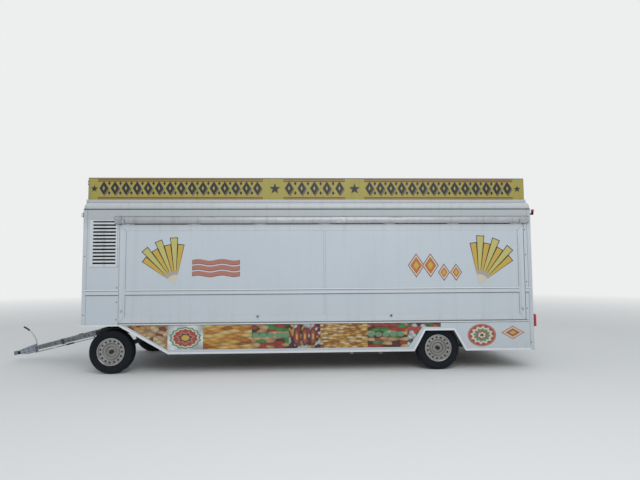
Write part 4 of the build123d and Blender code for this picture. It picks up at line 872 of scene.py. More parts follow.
# Hinge cover: a thin folded aluminium sheet over the flap's hinges, bent in places where the open
# flap has knocked it, with crumpled brackets at both ends. It replaces the straight solid.
cover_low, cover_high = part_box("hinge_cover")
COVER_STATIONS = 420
BRACKET = 0.150
BRACKET_STATIONS = 26
BRACKET_TURNS = 14
OVERLAP = 0.006
DENT_SPREAD = 0.3
SAG_WITH_DENT = 0.3
RIPPLES = [(0.0009, 9.1, 0.0), (0.0006, 23.0, 1.0)]  # depth, radians a metre, start
FOLD_DEPTH = 0.0130
WRINKLE_DEPTH = 0.0040
SHEET = 0.002
DENTS = [  # x, half width, depth, share of the height where it is deepest
    (-1.62, 0.050, 0.006, 0.55),
    (-1.30, 0.120, 0.004, 0.85),
    (-0.72, 0.060, 0.005, 0.90),
    (0.35, 0.090, 0.005, 0.75),
    (1.18, 0.035, 0.009, 0.45),
    (1.27, 0.030, 0.008, 0.55),
    (2.05, 0.080, 0.004, 0.90),
    (2.88, 0.140, 0.004, 0.80),
    (3.62, 0.070, 0.006, 0.70),
]
cover_grey = weathered(
    "hinge_cover_dull_aluminium",
    "#B2B7BB",
    "#A5AAAE",
    "#776F6B",
    roughness=0.33,
    metallic=0.25,
    streak=0.4,
    low=cover_low.z - 0.01,
    high=cover_high.z - 0.03,
    splash=0.75,
    wave=0.001,
)
height = cover_high.z - cover_low.z
depth = cover_high.y - cover_low.y
outline = np.array(  # distance out from the wall, height, both as shares of the cover's own
    [
        (0.00, 0.985),
        (0.20, 1.000),
        (0.62, 0.900),
        (0.90, 0.700),
        (1.00, 0.480),
        (1.00, 0.250),
        (0.98, 0.060),
        (0.94, -0.035),
        (0.86, -0.045),
        (0.86, 0.060),
        (0.90, 0.300),
        (0.89, 0.480),
        (0.80, 0.660),
        (0.56, 0.850),
        (0.18, 0.940),
        (0.00, 0.930),
    ]
)
sheet_left = cover_low.x + BRACKET
sheet_right = cover_high.x - BRACKET
along = np.linspace(sheet_left - OVERLAP, sheet_right + OVERLAP, COVER_STATIONS)
share_out = outline[None, :, 0]
share_up = outline[None, :, 1]
push = sum(
    deep
    * np.exp(-(((along[:, None] - x) / half) ** 2))
    * np.exp(-(((share_up - share) / DENT_SPREAD) ** 2))
    for x, half, deep, share in DENTS
)
ripple = sum(deep * np.sin(along * rate + start) for deep, rate, start in RIPPLES)
cover = np.empty((COVER_STATIONS, len(outline), 3))
cover[..., 0] = along[:, None]
cover[..., 1] = cover_high.y - share_out * depth + (push + ripple[:, None]) * share_out
cover[..., 2] = cover_low.z + share_up * height - SAG_WITH_DENT * push
cover_faces = grid_faces(COVER_STATIONS, len(outline), wrap_columns=True)[:, ::-1].tolist()
last = COVER_STATIONS * len(outline)
cover_faces.append(list(range(len(outline))))
cover_faces.append(list(range(last - 1, last - len(outline) - 1, -1)))
piece = mesh_piece(
    "hinge_cover_sheet", cover, cover_faces, "root", "aluminium", cover_grey, sharp=28
)
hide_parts("hinge_cover")
crumpled_grey = weathered(
    "bracket_crumpled_sheet",
    "#C3C8CB",
    "#8C9093",
    "#4F4B47",
    roughness=0.35,
    metallic=0.2,
    streak=0.9,
    wave=0.03,
    waves_a_metre=38.0,
)
brackets = []
for x0, x1 in ((cover_low.x, sheet_left), (sheet_right, cover_high.x)):
    x = np.linspace(x0, x1, BRACKET_STATIONS)[:, None]
    t = np.linspace(0, 1, BRACKET_TURNS)
    share = (x - x0) / (x1 - x0)
    bulge = np.sin(pi * share) ** 0.5
    folds = np.abs(np.sin(61 * x + 9 * t)) * np.sin(7 * t + 3 * share)
    crumple = (FOLD_DEPTH * folds + WRINKLE_DEPTH * np.sin(190 * x - 17 * t)) * bulge
    reach = (depth + 0.0015) * np.sin(t * pi * 0.95) ** 0.6 * (0.55 + 0.45 * bulge)
    hang = height * (1.0 + 0.16 * bulge) * (t - 0.04 * np.sin(2 * pi * t))
    wrap = np.empty((BRACKET_STATIONS, BRACKET_TURNS, 3))
    wrap[..., 0] = x
    wrap[..., 1] = cover_high.y - reach - crumple
    wrap[..., 2] = cover_high.z - 0.002 - hang + 0.6 * crumple
    brackets.append(wrap)
bracket_quads = grid_faces(BRACKET_STATIONS, BRACKET_TURNS)[:, ::-1]
crumpled = mesh_piece(
    "cover_end_brackets",
    np.stack(brackets),
    np.concatenate([bracket_quads, bracket_quads + BRACKET_STATIONS * BRACKET_TURNS]),
    "root",
    "aluminium",
    crumpled_grey,
    sharp=12,
)
thick = crumpled.modifiers.new("sheet", "SOLIDIFY")
thick.thickness = SHEET
thick.offset = -1
end_line = (cover_low.y - 0.0022, cover_low.y + 0.012)
creases = [
    (sheet_left, sheet_left + OVERLAP, *end_line, cover_low.z + 0.004, cover_low.z + 0.064),
    (sheet_right - OVERLAP, sheet_right, *end_line, cover_low.z + 0.004, cover_low.z + 0.058),
]
bars("bracket_edges", creases, "root", "black", joint_dirt_and_shadow_grey, soften=0.0012)
line_z = (cover_high.z - 0.003, cover_high.z + 0.005)
cover_line = (cover_low.x, cover_high.x, SIDE_Y - 0.0035, SIDE_Y + 0.0005, *line_z)
bars("cover_sealant", [cover_line], "root", "black", sealant_and_shadow, soften=0.001)

# Louvre: folded sheet blades in a flat frame, painted with the body, over a near-black fly screen
# that paints the shade inside the slots. The thin blades and their frame replace the solid, and keep
# its form.
louvre_low, louvre_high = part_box("louvre_vent")
BLADES = 13
BLADE_PITCH = 0.0511
BLADE_HEIGHT = 0.0265
BLADE_LEAN = 0.34
LOWEST_SLOT = 1.6045
WIRES_A_METRE = 130.0
louvre_white = weathered(
    "louvre_paint_white", "#D3D9DD", "#C8CED3", "#85878A", roughness=0.3, streak=0.5, wave=0.0002
)
# Painted shade: a near-black sheet behind the blades, woven like a fly screen, stands for the dark
# inside the slots.
shade_screen_black, tree, shader, coords = new_material("fly_screen_painted_shade")
weave = add(tree, "TexWave", {"Vector": coords, "Scale": WIRES_A_METRE}, bands_direction="Z")
holes = blend(tree, weave.outputs["Fac"], linear("#0B0D10"), linear("#1A1D21"))
tree.links.new(holes, shader.inputs["Base Color"])
shader.inputs["Roughness"].default_value = 0.9
screen_x = (louvre_low.x + 0.030, louvre_high.x - 0.020)
screen_z = (louvre_low.z + 0.02, louvre_high.z - 0.01)
screen = (*screen_x, SIDE_Y + 0.012, SIDE_Y + 0.014, *screen_z)
bars("louvre_screen", [screen], "root", "black", shade_screen_black)
blade_left = louvre_low.x + 0.047
blade_right = louvre_high.x - 0.024
blade_y = SIDE_Y - 0.0005


def leaned(points):
    """Leans each blade out at its foot: y falls by BLADE_LEAN for each metre below its top."""
    top = points[..., 2].max(axis=1, keepdims=True)
    out = points.copy()
    out[..., 1] -= BLADE_LEAN * (top - points[..., 2])
    return out, False


slot_feet = LOWEST_SLOT + BLADE_PITCH * np.arange(BLADES)
blade_feet = (slot_feet + BLADE_PITCH - BLADE_HEIGHT).tolist()
blade_box = (blade_left, blade_right, blade_y, blade_y + 0.0015)
blades = [(*blade_box, z, z + BLADE_HEIGHT) for z in blade_feet[:-1]]
bars("louvre_blades", blades, "root", "panel", louvre_white, soften=0.0006, bend=leaned)
front_back = (louvre_low.y, SIDE_Y + 0.003)
louvre_z = (louvre_low.z, louvre_high.z)
frame_bars = [
    (louvre_low.x, blade_left, *front_back, *louvre_z),
    (blade_right, louvre_high.x, *front_back, *louvre_z),
    (blade_left, blade_right, *front_back, louvre_low.z, LOWEST_SLOT),
    (blade_left, blade_right, *front_back, blade_feet[-1], louvre_high.z),
]
louvre_frame = bars("louvre_frame", frame_bars, "root", "panel", louvre_white, soften=0.0012)
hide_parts("louvre_vent")
# Painted shadow: thin dark lines along the frame's edges.
shade_y = (SIDE_Y - 0.001, SIDE_Y)
frame_shadow_lines = [
    (louvre_low.x - 0.0015, louvre_low.x, *shade_y, *louvre_z),
    (louvre_high.x, louvre_high.x + 0.0015, *shade_y, louvre_low.z, 2.20),
    (louvre_low.x, louvre_high.x, *shade_y, louvre_low.z - 0.0025, louvre_low.z),
    (louvre_low.x, cover_low.x, *shade_y, louvre_high.z, louvre_high.z + 0.002),
]
bars("louvre_shadow_outline", frame_shadow_lines, "root", "black", joint_dirt_and_shadow_grey)

# Rear wall and staff door: a rubber seal in the door's gap, a folded rain gutter over it, a bent
# tube to hold on to, and a step plate along the sill.
door_low, door_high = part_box("rear_door")
GRAB_LOW = 1.10
GRAB_LENGTH = 0.55
GRAB_OUT = 0.045
GRAB_RADIUS = 0.011
BOSS = (0.024, 0.006)  # radius, height
VENT_PLACE = (FRONT_X, SIDE_Y + 0.20, 1.037)


def tube(path, radius, turns=14):
    """Round tube: each point of the path plus (a cos t + b sin t) * radius, a and b across it."""
    path = np.asarray(path, dtype=float)
    ahead = np.gradient(path, axis=0)
    ahead /= np.linalg.norm(ahead, axis=1, keepdims=True)
    reference = np.array([0, 1.0, 0]) if abs(ahead[0, 1]) < 0.9 else np.array([1.0, 0, 0])
    first = np.cross(np.cross(ahead, reference), ahead)
    first /= np.linalg.norm(first, axis=1, keepdims=True)
    second = np.cross(ahead, first)
    angle = np.arange(turns) * 2 * pi / turns
    radius = np.broadcast_to(radius, (len(path),))[:, None, None]
    ring = first[:, None] * np.cos(angle)[:, None] + second[:, None] * np.sin(angle)[:, None]
    count = len(path) * turns
    faces = grid_faces(len(path), turns, wrap_columns=True).tolist()
    caps = [list(range(turns - 1, -1, -1)), list(range(count - turns, count))]
    return path[:, None] + ring * radius, faces + caps


finish_nodes(screw_zinc, "door_hinge_wall", "door_fittings")
seal_x = (REAR_X - 0.030, REAR_X - 0.002)
door_y = (door_low.y, door_high.y)
latch_edge = (door_low.y - RUBBER_OUT, door_low.y - RUBBER_IN)
door_rubbers = [
    (*seal_x, *latch_edge, door_low.z - RUBBER_OUT, door_high.z + RUBBER_OUT),
    (*seal_x, *door_y, door_high.z + RUBBER_IN, door_high.z + RUBBER_OUT),
    (*seal_x, *door_y, door_low.z - RUBBER_OUT, door_low.z - RUBBER_IN),
]
bars("door_seal", door_rubbers, "root", "black", rubber)
gutter_y = (door_low.y - 0.05, door_high.y + 0.05)
gutter_z = door_high.z + 0.030
gutters = [
    (REAR_X, REAR_X + 0.018, *gutter_y, gutter_z, gutter_z + 0.003),
    (REAR_X + 0.015, REAR_X + 0.018, *gutter_y, gutter_z, gutter_z + 0.016),
    (REAR_X, REAR_X + 0.002, *door_y, door_low.z - 0.050, door_low.z - 0.012),
]
bars("rear_gutter", gutters, "root", "aluminium", trim_white, soften=0.0008)
t = np.linspace(0, 1, 34)
grab_x = REAR_X + GRAB_OUT * np.minimum(1, np.sin(pi * t) * 4) ** 0.5
grab_y = door_low.y - 0.10
grab_path = np.stack([grab_x, np.full_like(t, grab_y), GRAB_LOW + GRAB_LENGTH * t], -1)
mesh_piece("grab_handle", *tube(grab_path, GRAB_RADIUS), "root", "zinc", screw_zinc)
bosses = [(REAR_X + 0.001, grab_y, z) for z in (GRAB_LOW, GRAB_LOW + GRAB_LENGTH)]
domes("grab_bosses", bosses, *BOSS, (1, 0, 0), "root", "zinc", screw_zinc)
vent_section = [(0.0, 0.055), (0.010, 0.055), (0.014, 0.050), (0.016, 0.030), (0.022, 0.028)]
vent_section += [(0.030, 0.040), (0.034, 0.038), (0.038, 0.020), (0.039, 0.0005)]
mesh_piece(
    "front_air_vent",
    turned(vent_section, 40, VENT_PLACE, (-1, 0, 0)),
    grid_faces(len(vent_section), 40, wrap_columns=True),
    "root",
    "panel",
    knob_white,
)

# Counter and gas struts behind the flap: a laminated board on a folded front, black-sprayed
# cylinders and hard-chromed rods.
laminate = weathered(
    "counter_laminate_grey", "#B9BBB9", "#ABAEAD", "#86837C", roughness=0.32, streak=0.05, wave=0.0003
)
finish_nodes(laminate, "serving_counter")
strut_black = weathered(
    "strut_paint_black", "#1E2023", "#25272A", "#4A4844", roughness=0.35, streak=0.1, wave=0.0001
)
finish_nodes(strut_black, "strut_tube_front", "strut_tube_rear")
chrome = weathered(
    "hard_chrome",
    "#C9CCCF",
    "#BFC2C5",
    "#8C8B88",
    roughness=0.12,
    metallic=1.0,
    streak=0.1,
    wave=0.0001,
)
finish_nodes(chrome, "strut_rod_front", "strut_rod_rear")

# Sign: a flat composite board in a thin painted edge. Its stripes, its four stars and the frieze of
# lozenges in its long fields are cut from coloured film.
SIGN_FACE = board_low.y - 0.0006
FILM = 0.0003
LAYER = 0.00004
STRIPE_CORE = 0.004
FIELDS = [(-2.412, 0.039), (0.348, 1.284), (1.574, 3.880)]
STARS = [(-2.462, 0.052), (0.220, 0.082), (1.429, 0.082), (3.950, 0.050)]  # x, radius
FRIEZE_PITCH = 0.148
FRIEZE_HALF = 0.103
FRIEZE_MARGIN = 0.085
LOZENGE_HALF = 0.064
CAP = 0.030
END_BOLT = (0.014, 0.018)  # radius, height
sign_yellow = weathered(
    "sign_board_yellow",
    "#A3994A",
    "#9B9247",
    "#7B7345",
    roughness=0.4,
    streak=0.35,
    wave=0.0008,
)


def cut_film(name, colour, cloud, dirt, streak=0.1, wave=0.0003):
    """Coloured self-adhesive film: satin and almost flat."""
    return weathered(name, colour, cloud, dirt, roughness=0.4, streak=streak, wave=wave)


stripe_rust = cut_film("film_rust_red", "#824233", "#783D31", "#6A5546", 0.5, 0.0002)
film_navy = cut_film("film_navy_black", "#171B22", "#1D2129", "#4A4A4B", 0.1, 0.0002)
frieze_shade = cut_film("film_shadow_brown", "#6E5F50", "#66584C", "#6A6258", 0.3, 0.0002)
finish_nodes(sign_yellow, "sign_board")
finish_nodes(box_sheet, "sign_brackets")


def star(x, z, radius, points=5, inner=0.40, turn=pi / 2, wide=1.0):
    """Outline of a star: corners at radius and inner * radius in turn, stretched in x by wide."""
    angle = turn + np.arange(2 * points) * pi / points
    reach = radius * np.where(np.arange(2 * points) % 2 == 0, 1.0, inner)
    return np.stack([x + wide * reach * np.cos(angle), z + reach * np.sin(angle)], -1)


def oval(x, z, half_x, half_z, turn=0.0, corners=40):
    """Outline of an ellipse turned by an angle."""
    angle = np.arange(corners) * 2 * pi / corners
    a = half_x * np.cos(angle)
    b = half_z * np.sin(angle)
    return np.stack([x + a * cos(turn) - b * sin(turn), z + a * sin(turn) + b * cos(turn)], -1)


def oblong(x0, x1, z0, z1):
    """Outline of an upright rectangle."""
    return np.array([(x0, z0), (x1, z0), (x1, z1), (x0, z1)])


def lozenge(x, z, half_x, half_z):
    """Outline of a square stood on its corner and stretched."""
    return np.array([(x - half_x, z), (x, z - half_z), (x + half_x, z), (x, z + half_z)])


def film(name, y, shapes, body, slot):
    """Cut film: each outline (x, z) filled flat on the plane y, every one a little further out.

    shapes lists (outline, material), lowest first; an outline runs anticlockwise from the front.
    """
    materials = list(dict.fromkeys(material for outline, material in shapes))
    points = []
    faces = []
    first = 0
    for number, (edge, material) in enumerate(shapes):
        level = np.full(len(edge), y - FILM - LAYER * number)
        points.append(np.stack([edge[:, 0], level, edge[:, 1]], -1))
        faces.append(list(range(first, first + len(edge))))
        first += len(edge)
    index = [materials.index(material) for outline, material in shapes]
    return mesh_piece(name, np.concatenate(points), faces, body, slot, *materials, index=index)


sign_z = board_low.z
sign_top = board_high.z
middle = sign_z + 0.188
shapes = []
for x0, x1 in FIELDS:
    for low, high in ((sign_z + 0.014, sign_z + 0.054), (sign_top - 0.056, sign_top - 0.014)):
        core = (low + high) / 2
        shapes.append((oblong(x0, x1, low, high), stripe_rust))
        shapes.append((oblong(x0, x1, core - STRIPE_CORE, core + STRIPE_CORE), sign_yellow))
for x0, x1 in FIELDS:
    count = int((x1 - x0 - 0.09) / FRIEZE_PITCH)
    for x in np.linspace(x0 + FRIEZE_MARGIN, x1 - FRIEZE_MARGIN, count).tolist():
        for half_x, half_z, shift, material in (
            (LOZENGE_HALF, FRIEZE_HALF, 0.016, frieze_shade),
            (LOZENGE_HALF, FRIEZE_HALF, 0.0, film_navy),
            (0.28 * LOZENGE_HALF, 0.36 * FRIEZE_HALF, 0.0, sign_yellow),
        ):
            shapes.append((lozenge(x + shift, middle - shift, half_x, half_z), material))
    step = (x1 - x0 - 2 * FRIEZE_MARGIN) / (count - 1)
    for n in range(count - 1):
        x = x0 + FRIEZE_MARGIN + (n + 0.5) * step
        for side in (-1, 1):
            shapes.append((lozenge(x, middle + side * 0.072, 0.020, 0.030), film_navy))
for x, radius in STARS:
    shapes.append((star(x, sign_z + 0.180, radius), film_navy))
film("sign_film", SIGN_FACE, shapes, "root", "sign")
cap_left = board_low.x - CAP
cap_right = board_high.x + CAP
cap_box = (board_low.y - 0.0005, board_high.y + 0.0005, sign_z, sign_top)
caps = [(cap_left, board_low.x + 0.002, *cap_box), (board_high.x - 0.002, cap_right, *cap_box)]
bars("sign_end_caps", caps, "root", "sign", sign_yellow, soften=0.0015)
edge_y = (board_low.y - 0.002, board_high.y + 0.002)
edging = [(cap_left, cap_right, *edge_y, sign_top - 0.006, sign_top + 0.003)]
edging += [(x - 0.003, x + 0.003, *edge_y, sign_z, sign_top) for x in (cap_left, cap_right)]
bars("sign_edging", edging, "root", "aluminium", joint_dirt_and_shadow_grey, soften=0.0015)
end_bolts = [(cap_left - 0.003, board_low.y + 0.015, z) for z in (2.800, 2.840)]
domes("sign_end_bolts", end_bolts, *END_BOLT, (-1, 0, 0), "root", "black", film_navy)

# Film on the flap and skirt: plain cut shapes in yellow, cream, salmon and rust, and a band of
# patterned tiles low down, all a little faded.
cream = cut_film("film_cream", "#CFCBB9", "#C4C0AE", "#9A978C")
straw = cut_film("film_straw_yellow", "#C3BC71", "#B8B06A", "#958F6C")
gold = cut_film("film_gold_yellow", "#C9AA4A", "#BD9E45", "#93804F")
pale_brown = cut_film("film_pale_brown", "#AFA59C", "#A59B93", "#8A827A")
salmon = cut_film("film_salmon", "#B4796A", "#A96E60", "#8A6C62")
bar_shade = cut_film("film_bar_brown", "#84483C", "#7C463B", "#6E554C", 0.3)
rust = cut_film("film_rust_orange", "#BA7144", "#AE683F", "#8C6650")
leaf = cut_film("film_leaf_green", "#5E9474", "#57896B", "#6B7A6C", 0.3)
brick = cut_film("film_brick_red", "#A6473C", "#9B4339", "#7E544B", 0.3)
plum = cut_film("film_plum_brown", "#5E3B35", "#573630", "#63544E", 0.3)
flap_y = skin_y - 0.0004
LONGER_RAY = 0.16
RAY_INSET = 0.09
RAY_START = 0.30
RAY_EDGE = 0.012
CORE_RINGS = [(0.34, pale_brown), (0.24, cream)]
BAND_HEIGHTS = (1.450, 1.537, 1.624)
BAND_SWING = 0.012
STRETCH = 1.45
FLAP_LOZENGES = [  # x, z, half width
    (2.345, 1.560, 0.125),
    (2.560, 1.560, 0.125),
    (2.765, 1.455, 0.090),
    (2.950, 1.455, 0.090),
]


def sunburst(x, z, radius, start, end, rays):
    """Fan of rays from one corner: dark edge, straw and gold wedges in turn, and a cream core."""

    def at(far, angle):
        """Points (x + far cos t, z + far sin t)."""
        return np.stack([x + far * np.cos(angle), z + far * np.sin(angle)], -1)

    angles = np.linspace(start, end, rays + 1)
    reach = radius * (1 + LONGER_RAY * (np.arange(rays) % 2))
    wedges = list(zip(angles[:-1], angles[1:], reach))
    made = [(np.stack([(x, z), at(far, low), at(far, high)]), film_navy) for low, high, far in wedges]
    for number, (low, high, far) in enumerate(wedges):
        inset = RAY_INSET * (high - low)
        near = RAY_START * radius
        top = far - RAY_EDGE
        sides = np.array([low + inset, low + inset, high - inset, high - inset])
        light = at(np.array([near, top, top, near]), sides)
        made.append((light, straw if number % 2 else gold))
    core = np.linspace(start, end, 16)
    for share, material in CORE_RINGS:
        made.append((np.concatenate([[(x, z)], at(share * radius, core)]), material))
    return made


def wave_band(x0, x1, z, half, swing, waves):
    """Band between two parallel sine lines, z + swing * sin(2 pi waves t) -/+ half."""
    t = np.linspace(0, 1, 60)
    x = x0 + (x1 - x0) * t
    middle = z + swing * np.sin(2 * pi * waves * t)
    lower = np.stack([x, middle - half], -1)
    upper = np.stack([x, middle + half], -1)
    return np.concatenate([lower, upper[::-1]])


shapes = sunburst(-1.235, 1.300, 0.60, radians(78), radians(146), 7)
for z in BAND_HEIGHTS:
    shapes.append((wave_band(-0.995, -0.295, z, 0.034, BAND_SWING, 2), bar_shade))
    shapes.append((wave_band(-0.988, -0.302, z + 0.003, 0.028, BAND_SWING, 2), salmon))
for x, z, half in FLAP_LOZENGES:
    shapes.append((lozenge(x, z, half, STRETCH * half), bar_shade))
    shapes.append((lozenge(x, z, half - 0.014, STRETCH * half - 0.020), cream))
    shapes.append((lozenge(x, z, half - 0.034, STRETCH * half - 0.050), rust))
    shapes.append((lozenge(x, z, 0.35 * half, 0.5 * half), gold))
shapes += sunburst(3.300, 1.270, 0.64, radians(34), radians(102), 7)
film("flap_film", flap_y, shapes, "flap", "panel")

TILE_LOW = 0.351
TILE_HIGH = 0.706
TILE_EDGES = (-1.340, -0.826, -0.117, 0.431, 0.896, 1.594, 2.193)
TILE_FIRST = [(-1.956, TILE_HIGH), (-1.345, TILE_LOW), (-1.340, TILE_LOW), (-1.340, TILE_HIGH)]
TILE_LAST = [(2.193, TILE_LOW), (2.208, TILE_LOW), (2.425, 0.647), (2.698, 0.640)]
TILE_LAST += [(2.698, TILE_HIGH), (2.193, TILE_HIGH)]
MIDDLE_Z = 0.521
GRAIN_A_METRE = 60.0
CELL_SHADE = (1.05, 0.50)  # brightness at a patch's middle and at its edge
CELL_MOTTLE = (0.50, 1.1)
OVAL_X = (0.545, 0.665, 0.785)
OVAL_RINGS = [(0.052, 0.135), (0.030, 0.095), (0.012, 0.045)]
FLOWER_X = -1.083
PLATE_PLACE = (3.317, 0.513)
DIAMOND_PLACE = (3.790, 0.546)


def mosaic(name, colours, size, turn=0.0, loose=1.0):
    """Printed film of small patches: Voronoi cells, each one colour picked by chance.

    size is a patch's length and height in metres, turn its slope, and loose how uneven they are.
    """
    made, tree, shader, coords = new_material(name)
    laid = add(
        tree,
        "Mapping",
        {"Vector": coords, "Rotation": (0, turn, 0), "Scale": (1 / size[0], 1.0, 1 / size[1])},
    )
    flat = add(tree, "SeparateXYZ", {0: laid.outputs[0]})
    place = add(tree, "CombineXYZ", {0: flat.outputs["X"], 1: flat.outputs["Z"]})
    cells = add(
        tree,
        "TexVoronoi",
        {"Vector": place.outputs[0], "Scale": 1.0, "Randomness": loose},
        voronoi_dimensions="2D",
        distance="CHEBYCHEV" if loose < 0.5 else "EUCLIDEAN",
    )
    part = add(tree, "SeparateColor", {0: cells.outputs["Color"]})
    pick = add(tree, "ValToRGB", {0: part.outputs[0]})
    pick.color_ramp.interpolation = "CONSTANT"
    for number, colour in enumerate(colours):
        if number > 1:
            pick.color_ramp.elements.new(number / len(colours))
        pick.color_ramp.elements[number].position = number / len(colours)
        pick.color_ramp.elements[number].color = linear(colour)
    shade = ranged(tree, cells.outputs["Distance"], 0.0, 0.7, *CELL_SHADE)
    mottle = ranged(tree, noise(tree, coords, GRAIN_A_METRE, 4.0), 0.0, 1.0, *CELL_MOTTLE)
    level = add(tree, "Math", {0: shade, 1: mottle}, operation="MULTIPLY")
    toned = add(tree, "VectorMath", {0: pick.outputs[0], "Scale": level.outputs[0]}, operation="SCALE")
    tree.links.new(toned.outputs[0], shader.inputs["Base Color"])
    shader.inputs["Roughness"].default_value = 0.38
    return made


def rosette(x, z, turn, wide, rings):
    """Stars laid on each other about one point; rings lists (radius, points, inner, material)."""
    return [
        (star(x, z, radius, points, inner, turn, wide), material)
        for radius, points, inner, material in rings
    ]


tan_mosaic = mosaic("tile_tan", ("#C9A97F", "#D9C49B", "#8A4A3C", "#C79A5F"), (0.085, 0.05), 0.5)
white_tile = mosaic("tile_white", ("#F2F4F5", "#EAEDEF"), (0.2, 0.2))
amber_bars = mosaic(
    "tile_amber", ("#D69A45", "#E2B35C", "#C07F37", "#E9C67C", "#A8662F"), (0.16, 0.042), 0.6, 0.6
)
green_bands = mosaic(
    "tile_bands", ("#C79B6B", "#4F8F4A", "#A8463A", "#5A332B", "#D3B07C"), (0.13, 0.05), 0.0, 0.75
)
plum_mosaic = mosaic(
    "tile_plum", ("#5C3430", "#B33D33", "#C8CDD0", "#D0A458", "#43302D"), (0.05, 0.05)
)
amber_small = mosaic(
    "tile_amber_small", ("#C58F45", "#DDB469", "#A56C33", "#E6CFA0"), (0.085, 0.026), -0.5, 0.8
)
red_mosaic = mosaic(
    "tile_red", ("#B23A34", "#C9524A", "#4A7A42", "#CFD3D5", "#5A322C"), (0.065, 0.05), 0.3
)
tile_films = (white_tile, amber_bars, green_bands, plum_mosaic, amber_small, green_bands)
band = [(np.array(TILE_FIRST), tan_mosaic)]
for x0, x1, material in zip(TILE_EDGES[:-1], TILE_EDGES[1:], tile_films):
    band.append((oblong(x0, x1, TILE_LOW, TILE_HIGH), material))
band.append((np.array(TILE_LAST), red_mosaic))
flower_rings = (
    (0.166, 14, 0.90, leaf),
    (0.146, 14, 0.90, cream),
    (0.132, 14, 0.86, brick),
    (0.104, 7, 0.66, salmon),
    (0.078, 7, 0.66, plum),
    (0.046, 7, 0.80, gold),
)
band += rosette(FLOWER_X, MIDDLE_Z, pi / 14, 1.42, flower_rings)
for x in OVAL_X:
    for (half_x, half_z), material in zip(OVAL_RINGS, (plum, brick, gold)):
        band.append((oval(x, MIDDLE_Z, half_x, half_z), material))
for x in np.arange(-0.055, 0.40, 0.11).tolist():
    band.append((oval(x, MIDDLE_Z + 0.025, 0.052, 0.036), leaf))
for x in np.arange(1.65, 2.16, 0.11).tolist():
    band.append((oval(x, MIDDLE_Z + 0.020, 0.050, 0.036), leaf))
plate_rings = (
    (0.168, 24, 0.985, salmon),
    (0.148, 24, 0.985, brick),
    (0.140, 12, 0.78, cream),
    (0.104, 12, 0.80, leaf),
    (0.082, 6, 0.60, brick),
    (0.052, 6, 0.70, cream),
    (0.022, 12, 0.95, plum),
)
band += rosette(*PLATE_PLACE, pi / 8, 1.30, plate_rings)
for half, material in ((1.0, rust), (0.86, cream), (0.70, pale_brown), (0.56, brick), (0.32, gold)):
    band.append((lozenge(*DIAMOND_PLACE, 0.180 * half, 0.100 * half), material))
film("skirt_film", SIDE_Y, band, "root", "panel")

# Lamps: moulded red lenses on black rubber bases, with an amber and a clear field, small marker
# lamps high on the ends, outline lamps on rubber arms beside them, and a bare plate holder.
lamp_low, lamp_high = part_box("tail_lamps")
LENS_OUT = 0.020
LAMP_Y = (-1.088, -0.983)
ARM_Y = (-1.134, -1.108)
MARKER_Y = (-1.081, -1.019)
REFLECTOR_Y = (-0.84, -0.76)
REFLECTOR_Z = (0.47, 0.55)
MARKER_Z = (2.354, 2.390)
RIBS_A_METRE = 42.0
RIB_DEPTH = 0.0012


def lamp_lens(name, colour, dark):
    """Ribbed lamp lens: moulded acrylic with fine upright ribs that break up the shine."""
    made, tree, shader, coords = new_material(name)
    ribs = add(tree, "TexWave", {"Vector": coords, "Scale": RIBS_A_METRE}, bands_direction="Y")
    tone = blend(tree, ribs.outputs["Fac"], linear(colour), linear(dark))
    tree.links.new(tone, shader.inputs["Base Color"])
    ribbed = {"Height": ribs.outputs["Fac"], "Distance": RIB_DEPTH, "Strength": 0.8}
    relief = add(tree, "Bump", ribbed)
    tree.links.new(relief.outputs[0], shader.inputs["Normal"])
    shader.inputs["Roughness"].default_value = 0.12
    shader.inputs["Coat Weight"].default_value = 0.5
    return made


lens_red = lamp_lens("lens_acrylic_red", "#C4232F", "#98131F")
lens_amber = lamp_lens("lens_acrylic_amber", "#D9822B", "#B5661D")
lens_clear = lamp_lens("lens_acrylic_clear", "#D9DCDD", "#B9BEC1")
finish_nodes(lens_red, "tail_lamps")


def narrowed(ends, by):
    """A low and a high value, both drawn in by the same distance."""
    return (ends[0] + by, ends[1] - by)


lamp_z = (lamp_low.z, lamp_high.z)
lens_face = lamp_high.x + LENS_OUT
lens_box = (lamp_high.x - 0.003, lens_face, *narrowed(LAMP_Y, 0.003), *narrowed(lamp_z, 0.003))
bars("tail_lamp_lenses", both_sides(lens_box), "root", "lamp_red", lens_red, soften=0.007)
field = (lens_face - 0.004, lens_face + 0.0012, *narrowed(LAMP_Y, 0.012))
amber = both_sides((*field, lamp_high.z - 0.062, lamp_high.z - 0.014))
bars("lamp_amber_fields", amber, "root", "lamp_red", lens_amber, soften=0.001)
clear = both_sides((*field, lamp_low.z + 0.014, lamp_low.z + 0.050))
bars("lamp_clear_fields", clear, "root", "lamp_white", lens_clear, soften=0.001)
bases = both_sides((REAR_X, REAR_X + 0.010, *narrowed(LAMP_Y, -0.004), *narrowed(lamp_z, -0.004)))
bars("lamp_bases", bases, "root", "black", rubber, soften=0.002)
finish_nodes(lens_clear, "marker_lamps")
markers = both_sides((REAR_X + 0.004, REAR_X + 0.027, *MARKER_Y, *MARKER_Z))
bars("rear_marker_lenses", markers, "root", "lamp_red", lens_red, soften=0.003)
arms = both_sides(
    (REAR_X, REAR_X + 0.060, *ARM_Y, 2.328, 2.352),
    (REAR_X + 0.030, REAR_X + 0.062, *ARM_Y, 2.345, 2.381),
    (FRONT_X - 0.010, FRONT_X, *narrowed(ARM_Y, -0.006), 2.292, 2.372),
)
bars("outline_lamp_arms", arms, "root", "black", rubber, soften=0.005)
reds = both_sides((REAR_X + 0.028, REAR_X + 0.070, *narrowed(ARM_Y, -0.003), 2.379, 2.412))
bars("outline_lamps_red", reds, "root", "lamp_red", lens_red, soften=0.008)
whites = both_sides((FRONT_X - 0.040, FRONT_X - 0.006, *narrowed(ARM_Y, -0.003), 2.300, 2.364))
